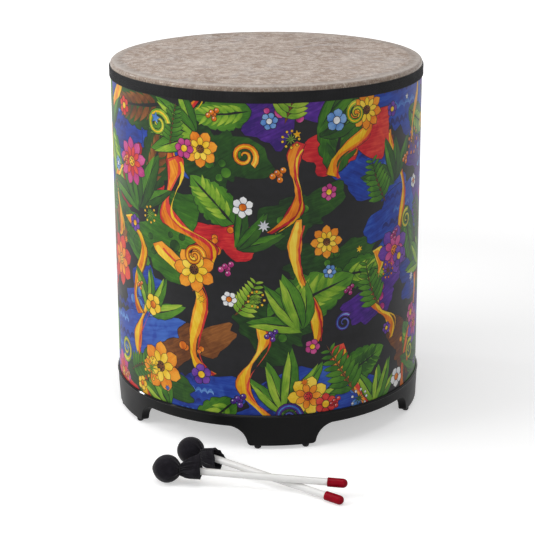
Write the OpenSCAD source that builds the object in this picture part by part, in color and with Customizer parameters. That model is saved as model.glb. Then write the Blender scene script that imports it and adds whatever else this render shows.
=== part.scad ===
// Floor drum with a pre-tuned head, a printed shell on a five-footed base ring, and two beaters
// that lie on the floor in front of it. Millimetres, +Z up. The origin is on the drum's axis,
// at the floor, and the front of the drum faces -Y.

/* [Drum] */
// Height from the floor to the flat of the head
drum_h = 526.7; // [480:0.1:600]
// Outside diameter over the printed wrap
drum_d = 457.2; // [430:0.2:480]
// Wall of the fibre shell
shell_wall = 5; // [4:0.5:6]
// Thickness of the printed wrap
wrap_t = 0.8; // [0.5:0.1:1.2]
// Gap at the back where the two ends of the wrap meet
seam_gap = 0.8; // [0.4:0.1:2]

/* [Head] */
// Thickness of the head's film
film_t = 0.7; // [0.4:0.1:1]
// Outer radius of the head's rolled edge
edge_r = 5; // [4:0.5:8]
// Width of the rim where the film lies on its ring
rim_w = 20; // [12:1:26]
// Fall of that rim from its inner edge to the roll
rim_fall = 0.8; // [0.3:0.1:1.5]
// Height of the film's collar, from the flat of the head down
collar_h = 21; // [18:0.5:22]
// Wall of the moulded ring under the film
ring_wall = 4; // [3:0.5:5]
// Length of the ring's spigot inside the shell
spigot_l = 24; // [15:1:40]

/* [Rim band] */
// Height of the woven band
band_h = 15.7; // [14.5:0.1:17]
// Thickness of the woven band
band_t = 1.8; // [1:0.1:2.4]
// Distance from the flat of the head down to the band
band_drop = 7.8; // [7:0.1:9]

/* [Base ring] */
// Height of the ring's lip above the floor
lip_z = 52.6; // [48:0.1:60]
// Radius of the bead along the lip
bead_r = 1.6; // [1.2:0.1:2]
// Height of the ring's lower edge above the floor, between the feet
skirt_z = 34.3; // [30:0.1:40]
// Outer wall of the ring at the lip
base_wall = 2.4; // [2:0.1:3]
// Lean of the outer wall, inward towards the floor, in degrees
base_draft = 2; // [1:0.1:3]
// How far the bead stands out past the wall
bead_proud = 1; // [0.6:0.1:1.2]
// Thickness of the shelf that the shell stands on
shelf_t = 4; // [3:0.5:5]
// Inner wall of the ring
inner_wall = 4; // [3:0.5:5]
// Height of the ring's inner wall above the floor
inner_wall_z = 65; // [62:1:80]

/* [Feet] */
// Number of feet
feet = 5; // [3:1:5]
// Angle of the first foot from the front, in degrees
foot_turn = 5.1; // [0:0.05:36]
// Width of a foot along the floor
foot_w = 98.5; // [80:0.5:110]
// Radius of a foot's lower corners
foot_corner = 5.5; // [2:0.5:6]
// Height of a rubber pad under the foot
pad_h = 5.5; // [5:0.1:8]
// Diameter of a rubber pad
pad_d = 10; // [9:0.5:10]
// Radius of a pad's domed lower edge
pad_round = 3.5; // [1.5:0.1:3.5]
// Diameter of a pad's stem
pad_stem_d = 6; // [5:0.5:6]
// Length of a pad's stem
pad_stem_l = 12; // [8:1:16]
// Half the angle between the two pads of a foot, in degrees
pad_spread = 8.85; // [8:0.05:9]

/* [Beaters] */
// Diameter of the round core
core_d = 35.6; // [30:0.2:35.6]
// Diameter of the head over its cloth
head_d = 38.4; // [38.4:0.2:42]
// Thickness of the cloth
cloth_t = 0.9; // [0.6:0.1:1]
// Diameter of the rod
rod_d = 10; // [8:0.5:10]
// Length from the middle of the head to the end of the cap
reach = 250; // [245:1:270]
// Diameter of the cap
cap_d = 12.6; // [12:0.2:14]
// Length of the cap
cap_l = 27; // [20:1:32]
// Diameter of the gathered neck
neck_d = 12.8; // [12.4:0.2:14]
// Diameter of the cord of the neck band
neck_cord_d = 1.8; // [1.2:0.2:2]
// Distance from the middle of the head to the hem
hem_s = 47; // [42:1:52]
// Mean diameter of the hem
hem_d = 33; // [31:1:34]
// Folds round the hem
folds = 7; // [5:1:8]
// Depth of a fold at the hem, either way from the mean
fold_depth = 3.2; // [1:0.2:3.4]

/* [Where the beaters lie] */
// X of the middle of the upper beater's head
upper_x = -138; // [-145:0.1:-130]
// Y of the middle of the upper beater's head
upper_y = -336; // [-345:0.1:-325]
// Direction of the upper beater's rod on the floor, in degrees
upper_heading = -12.5; // [-16:0.25:-10]
// X of the middle of the lower beater's head
lower_x = -108.2; // [-115:0.1:-100]
// Y of the middle of the lower beater's head
lower_y = -275; // [-285:0.1:-265]
// Direction of the lower beater's rod on the floor, in degrees
lower_heading = -33.75; // [-36:0.25:-30]

/* [Hidden] */
$fn = 96;
fit_gap = 0.05;     // between pieces that are glued or pressed together
wall_gap = 0.3;     // between the shell with its wrap and the walls of the base ring
edge_gap = 1;       // between the wrap's edges and what they face
floor_gap = 0.2;    // under the beaters, so that the drum stands on its own pads
rest_gap = 0.6;     // between the two crossed rods
over = 1;           // how far a cutter reaches past what it cuts

// Radii of the drum, from the outside in
wrap_r = drum_d / 2;
shell_r = wrap_r - wrap_t - fit_gap;
shell_in_r = shell_r - shell_wall;
spigot_r = shell_in_r - 3 * fit_gap;
rim_in_r = wrap_r - edge_r - rim_w;

// Heights of the drum
collar_z = drum_h - collar_h;
wrap_top_z = collar_z - edge_gap;
shell_top_z = wrap_top_z + fit_gap;
band_top_z = drum_h - band_drop;
shelf_z = skirt_z + shelf_t;

// Base ring and feet
channel_r = wrap_r + wall_gap;
channel_in_r = shell_in_r - wall_gap;
base_in_r = channel_in_r - inner_wall;
bead_z = lip_z - bead_r;
bead_mid_r = channel_r + base_wall + bead_proud - bead_r;
function base_wall_r(z) = channel_r + base_wall - (lip_z - z) * tan(base_draft);
foot_step = 0.3;    // a foot's face lies this far behind the ring's wall
foot_in_r = base_in_r + 2 * foot_step;
flare_lap = 0.4;    // a foot's hollowed side meets the ring's lower edge at a small angle
flare = skirt_z - pad_h + flare_lap;
flare_x = foot_w / 2 + flare;
corner_x = flare_x - sqrt(pow(flare + foot_corner, 2) - pow(foot_corner, 2));
foot_top_z = skirt_z + shelf_t / 2;
blend_a = asin(foot_corner / (flare + foot_corner));
corner_steps = 5;
flare_steps = 16;
function on_arc(x, z, r, a) = [x + r * cos(a), z + r * sin(a)];
// The right half of a foot's outline: its round lower corner, then its hollowed side
half_foot = [
    for (k = [0 : corner_steps])
        on_arc(corner_x, pad_h + foot_corner, foot_corner, -90 + k * (90 - blend_a) / corner_steps),
    for (k = [1 : flare_steps])
        on_arc(flare_x, pad_h, flare, 180 - blend_a - k * (90 - blend_a) / flare_steps),
    [flare_x, foot_top_z]
];
pad_circle_r = (foot_in_r + base_wall_r(pad_h) - foot_step) / 2;
pads = 2 * feet;
function pad_angle(i) = foot_turn + floor((i - 1) / 2) * 360 / feet + (i % 2 == 1 ? -1 : 1) * pad_spread;

// Screws, at the middle of each foot
screw_z = (shelf_z + inner_wall_z) / 2;
screw_shank_d = 3.6;
screw_head_d = 7;
screw_head_t = 2.2;
screw_cover = 1.5;  // fibre left outside a screw's tip
screw_tip_r = shell_r - screw_cover;

// Beaters: the lower one lies with its head and its cap on the floor, and the upper one with its
// head on the floor and its rod across the lower rod
head_z = head_d / 2 + floor_gap;
lower_rise = -asin((head_d - cap_d) / 2 / (reach - cap_d / 2));
turn = upper_heading - lower_heading;
lower_s = ((lower_y - upper_y) * cos(upper_heading) - (lower_x - upper_x) * sin(upper_heading)) / sin(turn);
upper_s = ((lower_y - upper_y) * cos(lower_heading) - (lower_x - upper_x) * sin(lower_heading)) / sin(turn);
cross_z = head_z + lower_s * tan(lower_rise) + rod_d + rest_gap;
upper_rise = atan((cross_z - head_z) / upper_s);

// Cloth of a beater's head, as rings from the front of the head to the hem
cloth_r = head_d / 2;
neck_r = neck_d / 2;
neck_angle = 180 - asin(neck_r / cloth_r);
neck_l = 3.2;       // length of the straight neck, between the ball and the skirt
neck_s = -cloth_r * cos(neck_angle);
skirt_s = neck_s + neck_l;
cap_rings = 8;
skirt_rings = 7;
cloth_sides = 36;
rings = cap_rings + 1 + skirt_rings;
hem_lift = 4.5;     // the hem's middle lies this far above the rod's axis
wide_folds = 3;     // slower waves, which make the folds uneven
function ease(t) = t * t * (3 - 2 * t);
function skirt_t(k) = max(0, (k - cap_rings) / skirt_rings);
function ring_s(k) =
    k < cap_rings ? -cloth_r * cos(neck_angle * (k + 1) / cap_rings)
    : skirt_s + (hem_s - skirt_s) * skirt_t(k);
function ring_r(k) =
    k < cap_rings ? cloth_r * sin(neck_angle * (k + 1) / cap_rings)
    : neck_r + (hem_d / 2 - neck_r) * ease(skirt_t(k));
function fold(k, a, phase) =
    fold_depth * ease(skirt_t(k)) * (0.7 * cos(folds * a + phase) + 0.3 * cos(wide_folds * a - phase));
// A point of the cloth, on its outer face or the given depth under it
function cloth_point(k, j, phase, depth) =
    let (a = j * 360 / cloth_sides)
    let (ball_part = k < cap_rings - 1)
    let (s = ball_part ? ring_s(k) * (1 - depth / cloth_r) : ring_s(k))
    let (r = ball_part ? ring_r(k) * (1 - depth / cloth_r) : ring_r(k) + fold(k, a, phase) - depth)
    [s, r * sin(a), r * cos(a) + hem_lift * ease(skirt_t(k))];

// A tube about Z from one height to another
module tube(r_out, r_in, z0, z1) {
    translate([0, 0, z0]) difference() {
        cylinder(r = r_out, h = z1 - z0);
        translate([0, 0, -over]) cylinder(r = r_in, h = z1 - z0 + 2 * over);
    }
}

// The slit at the back where a sheet's two ends meet
module back_seam(z0, z1) {
    translate([-seam_gap / 2, 0, z0 - over]) cube([seam_gap, drum_d, z1 - z0 + 2 * over]);
}

// A cylinder that points outward from the drum's axis, to the front
module radial(z, d, r0, r1) {
    translate([0, -r0, z]) rotate([90, 0, 0]) cylinder(d = d, h = r1 - r0);
}

// Repeats what is drawn at the front at the middle of each foot
module at_feet() {
    for (i = [0 : feet - 1]) rotate([0, 0, foot_turn + i * 360 / feet]) children();
}

// Half section of the head's outer form, drawn in by an inset all over
module head_section(inset, bottom_z) {
    roll_r = edge_r - inset;
    roll_x = wrap_r - edge_r;
    roll_z = drum_h - rim_fall - edge_r;
    translate([roll_x, roll_z]) circle(r = roll_r);
    polygon([
        [0, bottom_z], [wrap_r - inset, bottom_z], [wrap_r - inset, roll_z],
        [roll_x, roll_z + roll_r], [rim_in_r, drum_h - inset], [0, drum_h - inset]
    ]);
}

// The fibre tube that everything is fixed to
module drum_shell() {
    color("#7a6750") difference() {
        tube(shell_r, shell_in_r, shelf_z + fit_gap, shell_top_z);
        at_feet() radial(screw_z, screw_shank_d, shell_in_r - over, screw_tip_r + 2 * fit_gap);
    }
}

// The printed sheet glued round the shell
module shell_wrap() {
    color("#2b4a52") difference() {
        tube(wrap_r, wrap_r - wrap_t, shelf_z + edge_gap, wrap_top_z);
        back_seam(shelf_z, wrap_top_z);
    }
}

// The moulded ring that the film is bonded to, with its spigot inside the shell
module head_ring() {
    seat = film_t + fit_gap;
    flange_z = drum_h - rim_fall - seat - ring_wall;
    color("#2a2b2d") rotate_extrude() difference() {
        union() {
            head_section(seat, shell_top_z + fit_gap);
            translate([0, shell_top_z - spigot_l]) square([spigot_r, spigot_l + over]);
        }
        translate([-over, shell_top_z - spigot_l - over]) square([rim_in_r + over, drum_h]);
        translate([-over, shell_top_z - spigot_l - over])
            square([spigot_r - ring_wall + over, flange_z - shell_top_z + spigot_l + over]);
    }
}

// The film, flat on top and rolled down into a collar
module drumhead() {
    color("#a89b91") rotate_extrude() difference() {
        head_section(0, collar_z);
        head_section(film_t, collar_z - over);
    }
}

// The woven tape round the top
module rim_band() {
    color("#2e2e30") difference() {
        tube(wrap_r + fit_gap + band_t, wrap_r + fit_gap, band_top_z - band_h, band_top_z);
        back_seam(band_top_z - band_h, band_top_z);
    }
}

// Outline of a foot as seen from the outside
module foot_outline() {
    last = len(half_foot) - 1;
    polygon([each half_foot, for (k = [last : -1 : 0]) [-half_foot[k].x, half_foot[k].y]]);
}

// One foot, cut from a turned wall by that outline
module foot() {
    intersection() {
        rotate_extrude() polygon([
            [foot_in_r, pad_h - over], [base_wall_r(pad_h - over) - foot_step, pad_h - over],
            [base_wall_r(foot_top_z) - foot_step, foot_top_z], [foot_in_r, foot_top_z]
        ]);
        rotate([90, 0, 0]) linear_extrude(height = drum_d) foot_outline();
    }
}

// The moulded ring with a channel for the shell, a beaded lip and its feet
module base_ring() {
    color("#1c1d1e") difference() {
        union() {
            rotate_extrude() {
                polygon([
                    [base_in_r, skirt_z], [base_wall_r(skirt_z), skirt_z], [base_wall_r(bead_z), bead_z],
                    [channel_r, bead_z], [channel_r, shelf_z], [channel_in_r, shelf_z],
                    [channel_in_r, inner_wall_z], [base_in_r, inner_wall_z]
                ]);
                translate([bead_mid_r, bead_z]) circle(r = bead_r);
            }
            at_feet() foot();
        }
        at_feet() radial(screw_z, screw_shank_d, base_in_r - over, channel_in_r + over);
        for (i = [1 : pads]) rotate([0, 0, pad_angle(i)])
            translate([0, -pad_circle_r, pad_h - over]) cylinder(d = pad_stem_d, h = pad_stem_l + 2 * over);
    }
}

// Five pan-head screws with cross recesses, heads inside the ring
module base_screws() {
    recess = [screw_head_d * 0.6, screw_head_d * 0.16, screw_head_t * 0.55];
    color("#8d9094") at_feet() difference() {
        union() {
            radial(screw_z, screw_shank_d - 2 * fit_gap, base_in_r - screw_head_t, screw_tip_r);
            radial(screw_z, screw_head_d, base_in_r - screw_head_t - fit_gap, base_in_r - fit_gap);
        }
        for (spin = [0, 90]) translate([0, fit_gap + screw_head_t - base_in_r, screw_z]) rotate([90, spin, 0])
            translate([0, 0, recess.z / 2 - fit_gap]) cube([recess.x, recess.y, recess.z], center = true);
    }
}

// A rubber pad with a domed lower edge and a stem pressed into its foot
module foot_pad(i) {
    pad_r = pad_d / 2;
    flat_r = pad_r - pad_round;
    color("#151516") rotate([0, 0, pad_angle(i)]) translate([0, -pad_circle_r, 0]) rotate_extrude() {
        square([flat_r, pad_round]);
        intersection() {
            translate([flat_r, pad_round]) circle(r = pad_round);
            square([pad_r, pad_round]);
        }
        translate([0, pad_round]) {
            square([pad_r, pad_h - pad_round - fit_gap]);
            square([pad_stem_d / 2 - fit_gap, pad_h + pad_stem_l - pad_round]);
        }
    }
}

// Moves a beater, drawn along +X from the middle of its head, to its place on the floor
module lay(i) {
    place = i == 1 ? [upper_x, upper_y, head_z] : [lower_x, lower_y, head_z];
    swing = i == 1 ? [0, -upper_rise, upper_heading] : [0, -lower_rise, lower_heading];
    translate(place) rotate(swing) children();
}

// A cylinder along +X
module bar(d, s0, s1) {
    translate([s0, 0, 0]) rotate([0, 90, 0]) cylinder(d = d, h = s1 - s0);
}

// The white rod, from inside the core to inside the cap
module mallet_rod(i) {
    color("#f1f0ee") lay(i) bar(rod_d - 2 * fit_gap, -core_d / 4, reach - cap_d / 4);
}

// The round core, bored for the rod
module mallet_core(i) {
    core_r = core_d / 2;
    bore_l = core_r / 2 + fit_gap + core_d;
    color("#3b3634") lay(i) rotate([0, 90, 0]) rotate_extrude() difference() {
        circle(r = core_r);
        translate([-core_d, -core_d]) square([core_d, 2 * core_d]);
        translate([-over, core_d - bore_l]) square([rod_d / 2 + over, bore_l]);
    }
}

// The cloth over the head, gathered at the neck and hanging in folds from there to the hem
module mallet_cover(i) {
    phase = i == 1 ? 20 : 110;
    face_size = rings * cloth_sides;
    points = [
        [-cloth_r, 0, 0],
        for (k = [0 : rings - 1], j = [0 : cloth_sides - 1]) cloth_point(k, j, phase, 0),
        [-cloth_r + cloth_t, 0, 0],
        for (k = [0 : rings - 1], j = [0 : cloth_sides - 1]) cloth_point(k, j, phase, cloth_t)
    ];
    pole = face_size + 1;
    function outer(k, j) = 1 + k * cloth_sides + j % cloth_sides;
    function inner(k, j) = pole + outer(k, j);
    last = rings - 1;
    faces = [
        for (j = [0 : cloth_sides - 1]) each [
            [0, outer(0, j + 1), outer(0, j)],
            [pole, inner(0, j), inner(0, j + 1)],
            [outer(last, j), outer(last, j + 1), inner(last, j + 1)],
            [outer(last, j), inner(last, j + 1), inner(last, j)]
        ],
        for (k = [0 : last - 1], j = [0 : cloth_sides - 1]) each [
            [outer(k, j), outer(k, j + 1), outer(k + 1, j + 1)],
            [outer(k, j), outer(k + 1, j + 1), outer(k + 1, j)],
            [inner(k, j), inner(k + 1, j + 1), inner(k, j + 1)],
            [inner(k, j), inner(k + 1, j), inner(k + 1, j + 1)]
        ]
    ];
    color("#1b1a1e") lay(i) polyhedron(points, faces);
}

// The elastic band that gathers the cloth at the neck
module mallet_neck_band(i) {
    cord_r = neck_cord_d / 2;
    color("#111113") lay(i) translate([neck_s + neck_l / 2, 0, 0]) rotate([0, 90, 0])
        rotate_extrude() translate([neck_r + cord_r + 2 * fit_gap, 0]) circle(r = cord_r, $fn = 32);
}

// The vinyl cap with its round end
module mallet_end_cap(i) {
    cap_r = cap_d / 2;
    color("#9c0a24") lay(i) difference() {
        union() {
            bar(cap_d, reach - cap_l, reach - cap_r);
            translate([reach - cap_r, 0, 0]) sphere(r = cap_r);
        }
        bar(rod_d, reach - cap_l - over, reach - cap_d / 4 + fit_gap);
    }
}

drum_shell();
shell_wrap();
head_ring();
drumhead();
rim_band();
base_ring();
base_screws();
for (i = [1 : pads]) foot_pad(i);
for (i = [1 : 2]) {
    mallet_rod(i);
    mallet_core(i);
    mallet_cover(i);
    mallet_neck_band(i);
    mallet_end_cap(i);
}
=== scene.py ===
# %% [markdown]
# A gathering drum is a tall floor drum that several children play together. Its parts are a round
# fibre shell in a printed wrap, a tuned head with a woven band over its edge, a black base ring on
# five feet, and two soft beaters that lie on the floor. The CAD frame already holds every part at
# its real size. This lesson gives each part its finish, and models the parts that need a finer or a
# softer shape than CAD gives. Shapes are worked out in millimetres and become metres in the mesh.

# %% Load the frame
import math
from collections import namedtuple

import bmesh
import bpy
import numpy as np
from mathutils import Matrix, Vector, noise
from mathutils.geometry import delaunay_2d_cdt


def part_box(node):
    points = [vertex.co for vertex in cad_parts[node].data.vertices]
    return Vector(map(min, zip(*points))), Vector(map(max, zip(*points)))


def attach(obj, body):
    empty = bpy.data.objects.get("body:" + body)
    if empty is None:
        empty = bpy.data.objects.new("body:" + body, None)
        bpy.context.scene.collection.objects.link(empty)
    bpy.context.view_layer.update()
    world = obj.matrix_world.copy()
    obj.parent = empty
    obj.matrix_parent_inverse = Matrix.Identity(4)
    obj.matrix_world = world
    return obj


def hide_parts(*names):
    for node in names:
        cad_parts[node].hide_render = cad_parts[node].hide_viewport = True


MM = 0.001
TURN = 2 * math.pi
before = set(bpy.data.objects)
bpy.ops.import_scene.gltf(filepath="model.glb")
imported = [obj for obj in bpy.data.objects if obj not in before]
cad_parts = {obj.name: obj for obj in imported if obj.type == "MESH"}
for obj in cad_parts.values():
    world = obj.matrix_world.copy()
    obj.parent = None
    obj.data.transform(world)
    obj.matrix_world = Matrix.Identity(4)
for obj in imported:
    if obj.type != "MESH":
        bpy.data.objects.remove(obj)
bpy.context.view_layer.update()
scene = bpy.context.scene

# %% [markdown]
# The camera stands where the photographer stood: 2.4 m in front of the drum, a little above its
# head, with a long lens. Its pose was found by fitting the ellipses of the head, the band and the
# base ring. A camera could also be aimed with a constraint, but a plain matrix holds the small roll
# and yaw too.

# %% Camera
CAMERA_PLACE = Vector((0, -2.4073, 0.9570))
CAMERA_PITCH = math.radians(17.433)
CAMERA_ROLL = -0.0046
CAMERA_YAW = 0.0002
CAMERA_LENS = 111.18
SENSOR_WIDTH = 36


def camera_axes(pitch, yaw, roll):
    forward = Vector((math.sin(yaw) * math.cos(pitch), math.cos(yaw) * math.cos(pitch), -math.sin(pitch)))
    level = Vector((math.cos(yaw), -math.sin(yaw), 0))
    upright = level.cross(forward)
    right = level * math.cos(roll) + upright * math.sin(roll)
    up = upright * math.cos(roll) - level * math.sin(roll)
    return right, up, -forward


camera = bpy.data.objects.new("camera", bpy.data.cameras.new("camera"))
scene.collection.objects.link(camera)
camera.data.lens = CAMERA_LENS
camera.data.sensor_width = SENSOR_WIDTH
camera_turn = Matrix(camera_axes(CAMERA_PITCH, CAMERA_YAW, CAMERA_ROLL)).transposed()
camera.matrix_world = Matrix.Translation(CAMERA_PLACE) @ camera_turn.to_4x4()
scene.camera = camera
print("camera at", [round(c, 3) for c in camera.location])

# %% [markdown]
# Node helpers. A material is a small graph, and every step of it is the same: place a node, set its
# options, then set or link its inputs. One function does that, and a few short ones name the nodes
# that come up most. Colours are written as 0 to 255, as a paint chart gives them, and turned into
# the linear values that the shader works with.

# %% Node helpers
WHITE = (1, 1, 1, 1)
COLOUR_A = 6
COLOUR_B = 7
COLOUR_RESULT = 2


def paint(red, green, blue):
    channels = [c / 255 for c in (red, green, blue)]
    return (*[c / 12.92 if c <= 0.04045 else ((c + 0.055) / 1.055) ** 2.4 for c in channels], 1)


def feed(tree, socket, value):
    if isinstance(value, bpy.types.NodeSocket):
        tree.links.new(value, socket)
    else:
        socket.default_value = value


def add(tree, kind, inputs=None, **options):
    node = tree.nodes.new("ShaderNode" + kind)
    for name, value in options.items():
        setattr(node, name, value)
    for name, value in (inputs or {}).items():
        feed(tree, node.inputs[name], value)
    return node


def maths(tree, operation, first, second=0.0, clamp=False):
    node = add(tree, "Math", {0: first, 1: second}, operation=operation, use_clamp=clamp)
    return node.outputs[0]


def times(tree, first, second):
    return maths(tree, "MULTIPLY", first, second)


def weighted(tree, *parts):
    total = times(tree, *parts[0])
    for value, share in parts[1:]:
        total = maths(tree, "ADD", total, times(tree, value, share))
    return total


def between(tree, value, low, high, to_low=0.0, to_high=1.0):
    inputs = {"Value": value, "From Min": low, "From Max": high, "To Min": to_low, "To Max": to_high}
    return add(tree, "MapRange", inputs).outputs["Result"]


print("number helpers ready, white is", WHITE)

# %% Texture and colour helpers
def object_place(tree):
    return add(tree, "TexCoord").outputs["Object"]


def noise_of(tree, vector, scale, detail=2.0, distortion=0.0, roughness=0.5):
    inputs = {"Vector": vector, "Scale": scale, "Detail": detail, "Roughness": roughness}
    return add(tree, "TexNoise", {**inputs, "Distortion": distortion}).outputs["Fac"]


def stretched(tree, vector, scale, turn=0.0):
    inputs = {"Vector": vector, "Scale": scale, "Rotation": (0, 0, turn)}
    return add(tree, "Mapping", inputs).outputs["Vector"]


def ramp(tree, factor, *stops):
    node = add(tree, "ValToRGB", {"Fac": factor})
    elements = node.color_ramp.elements
    while len(elements) < len(stops):
        elements.new(0.5)
    for element, (place, colour) in zip(elements, stops):
        element.position = place
        element.color = colour
    return node.outputs["Color"]


def mixed(tree, factor, first, second, blend="MIX"):
    node = add(tree, "Mix", data_type="RGBA", blend_type=blend)
    feed(tree, node.inputs["Factor"], factor)
    feed(tree, node.inputs[COLOUR_A], first)
    feed(tree, node.inputs[COLOUR_B], second)
    return node.outputs[COLOUR_RESULT]


def tinted(tree, colour, mask, share, tint, blend="MIX"):
    return mixed(tree, times(tree, mask, share), colour, tint, blend)


def bump(tree, height, strength, distance):
    inputs = {"Height": height, "Strength": strength, "Distance": distance}
    return add(tree, "Bump", inputs).outputs["Normal"]


def new_material(name):
    material = bpy.data.materials.new(name)
    material.use_nodes = True
    tree = material.node_tree
    return material, tree, tree.nodes["Principled BSDF"]


def set_shader(tree, shader, **values):
    for name, value in values.items():
        feed(tree, shader.inputs[name.replace("_", " ")], value)


print("middle grey in linear light:", [round(c, 3) for c in paint(128, 128, 128)])

# %% [markdown]
# The stage is a photographer's white sweep: a large pale floor, a white world and soft lamps. The
# big lamps stand at the left, so the left side of the drum is lighter than the right, and a small
# lamp puts a short glint on the lip of the base ring. The camera sees the world as white, and
# the floor adds a little light of its own for the camera only, more of it far from the drum, so it
# reads as white paper and still takes the drum's shadow.

# %% World and floor
FLOOR_HALF = 6.0
FLOOR_COLOUR = (0.80, 0.80, 0.80, 1)
FLOOR_ROUGHNESS = 0.9
FLOOR_LIFT = 0.46
FAR_LIFT = 1.0
LIFT_STARTS = 0.9
LIFT_ENDS = 2.2
AMBIENT = 0.30


def seen_directly(tree):
    path = add(tree, "LightPath")
    mirrors = maths(tree, "MAXIMUM", path.outputs["Is Glossy Ray"], path.outputs["Is Transmission Ray"])
    return maths(tree, "MAXIMUM", path.outputs["Is Camera Ray"], mirrors)


def make_world():
    world = bpy.data.worlds.new("white_studio")
    world.use_nodes = True
    tree = world.node_tree
    background = tree.nodes["Background"].inputs
    feed(tree, background["Color"], WHITE)
    feed(tree, background["Strength"], between(tree, seen_directly(tree), 0, 1, AMBIENT, 1))
    return world


def make_floor():
    low, high = -FLOOR_HALF, FLOOR_HALF
    corners = [(low, low, 0), (high, low, 0), (high, high, 0), (low, high, 0)]
    mesh = bpy.data.meshes.new("studio_floor")
    mesh.from_pydata(corners, [], [(0, 1, 2, 3)])
    floor = bpy.data.objects.new("studio_floor", mesh)
    scene.collection.objects.link(floor)
    material, tree, shader = new_material("floor_paper")
    away = add(tree, "VectorMath", {0: object_place(tree)}, operation="LENGTH").outputs["Value"]
    lift = between(tree, away, LIFT_STARTS, LIFT_ENDS, FLOOR_LIFT, FAR_LIFT)
    set_shader(tree, shader, Base_Color=FLOOR_COLOUR, Roughness=FLOOR_ROUGHNESS, Specular_IOR_Level=0.0)
    set_shader(tree, shader, Emission_Color=WHITE, Emission_Strength=times(tree, seen_directly(tree), lift))
    mesh.materials.append(material)


scene.view_settings.view_transform = "Standard"
scene.world = make_world()
make_floor()
print("floor of", 2 * FLOOR_HALF, "m under a white world")

# %% Lamps
LAMPS = {
    "left_softbox": {"place": (-2.2, -0.7, 1.5), "target": (0, 0, 0.3), "size": (1.3, 1.3), "watts": 27},
    "lip_accent": {"place": (-1.87, 0.77, 1.13), "target": (0, 0, 0.1), "size": (0.15, 0.11), "watts": 4},
    "top_softbox": {"place": (-0.3, -0.4, 2.5), "target": (0, 0, 0.4), "size": (1.8, 1.8), "watts": 20},
    "front_fill": {"place": (0.7, -2.7, 1.3), "target": (0, 0, 0.3), "size": (1.6, 1.6), "watts": 12},
}


def make_lamp(name, place, target, size, watts):
    data = bpy.data.lights.new(name, "AREA")
    data.shape = "RECTANGLE"
    data.size, data.size_y = size
    data.energy = watts
    lamp = bpy.data.objects.new(name, data)
    lamp.location = place
    lamp.rotation_euler = (Vector(target) - Vector(place)).to_track_quat("-Z", "Y").to_euler()
    scene.collection.objects.link(lamp)


for lamp_name, lamp_values in LAMPS.items():
    make_lamp(lamp_name, **lamp_values)
print("lamps:", ", ".join(LAMPS))

# %% [markdown]
# Three effects come up in several finishes, so each is a node group that is built once. Grain is the
# fine tooth of a moulded or printed surface. Handling is the soft cloud of rubbing and dust that
# makes gloss uneven. Threads is a plain weave, counted in threads per metre along a cloth's own map;
# its Shade output is painted shade, darker where the weave dips between threads.

# %% Shared effects
def new_group(name, inputs, outputs):
    tree = bpy.data.node_groups.new(name, "ShaderNodeTree")
    for label, kind, value in inputs:
        socket = tree.interface.new_socket(label, in_out="INPUT", socket_type="NodeSocket" + kind)
        if value is not None:
            socket.default_value = value
    for label in outputs:
        tree.interface.new_socket(label, in_out="OUTPUT", socket_type="NodeSocketFloat")
    return tree, tree.nodes.new("NodeGroupInput").outputs, tree.nodes.new("NodeGroupOutput").inputs


def put_out(tree, result, **values):
    for name, value in values.items():
        feed(tree, result[name], value)


def use_group(tree, group, **values):
    return add(tree, "Group", values, node_tree=group).outputs


def make_grain_group():
    tree, given, result = new_group(
        "grain", [("Place", "Vector", None), ("Scale", "Float", 900.0)], ["Height", "Speckle"])
    fine = noise_of(tree, given["Place"], given["Scale"], detail=3)
    coarse = noise_of(tree, given["Place"], times(tree, given["Scale"], 0.21), detail=2)
    put_out(tree, result, Height=weighted(tree, (fine, 0.7), (coarse, 0.3)))
    put_out(tree, result, Speckle=between(tree, fine, 0.3, 0.7))
    return tree


def make_handling_group():
    tree, given, result = new_group(
        "handling", [("Place", "Vector", None), ("Scale", "Float", 18.0)], ["Cloud", "Scratch"])
    cloud = noise_of(tree, given["Place"], given["Scale"], detail=5, distortion=0.6)
    long_way = stretched(tree, given["Place"], (1, 1, 14), turn=0.4)
    lines = noise_of(tree, long_way, times(tree, given["Scale"], 6.0), detail=2, distortion=0.3)
    put_out(tree, result, Cloud=between(tree, cloud, 0.3, 0.72))
    put_out(tree, result, Scratch=between(tree, lines, 0.66, 0.74))
    return tree


def thread_wave(tree, along, count):
    return maths(tree, "SINE", times(tree, times(tree, along, count), TURN))


def make_threads_group():
    tree, given, result = new_group(
        "threads", [("Map", "Vector", None), ("Across", "Float", 1500.0), ("Along", "Float", 1500.0)],
        ["Height", "Shade"])
    parts = add(tree, "SeparateXYZ", {"Vector": given["Map"]}).outputs
    warp = thread_wave(tree, parts["X"], given["Across"])
    weft = thread_wave(tree, parts["Y"], given["Along"])
    height = between(tree, times(tree, warp, weft), -1, 1)
    fuzz = between(tree, noise_of(tree, given["Map"], scale=2600, detail=2), 0.2, 0.8, 0.6, 1.0)
    # Shade is painted shade: the low points of the weave are darker.
    put_out(tree, result, Height=height, Shade=times(tree, height, fuzz))
    return tree


grain_group = make_grain_group()
handling_group = make_handling_group()
threads_group = make_threads_group()
print("shared effects:", [group.name for group in bpy.data.node_groups])

# %% [markdown]
# Black moulded plastic is used for the base ring and for the hidden ring under the head. It is a
# satin black with a fine tooth, and handling makes its gloss uneven. The lip of the base ring is
# polished, so its roughness drops between two heights, and it mirrors where the rest only shines.
# Two materials on one piece could do that too, but one material gives a soft border.

# %% Moulded plastic
LIP_Z = 52.6
BEAD_R = 1.6
POLISH_EDGE = 0.4
POLISH_TOP = 0.6
POLISH = 0.16


def off_the_lip(tree, place):
    height = add(tree, "SeparateXYZ", {"Vector": place}).outputs["Z"]
    bead_z = (LIP_Z - 2 * BEAD_R) * MM
    top_z = (LIP_Z + POLISH_TOP) * MM
    above = between(tree, height, bead_z - POLISH_EDGE * MM, bead_z + POLISH_EDGE * MM)
    below = between(tree, height, top_z, top_z + POLISH_EDGE * MM, 1, 0)
    return between(tree, times(tree, above, below), 0, 1, 1, 0)


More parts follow.
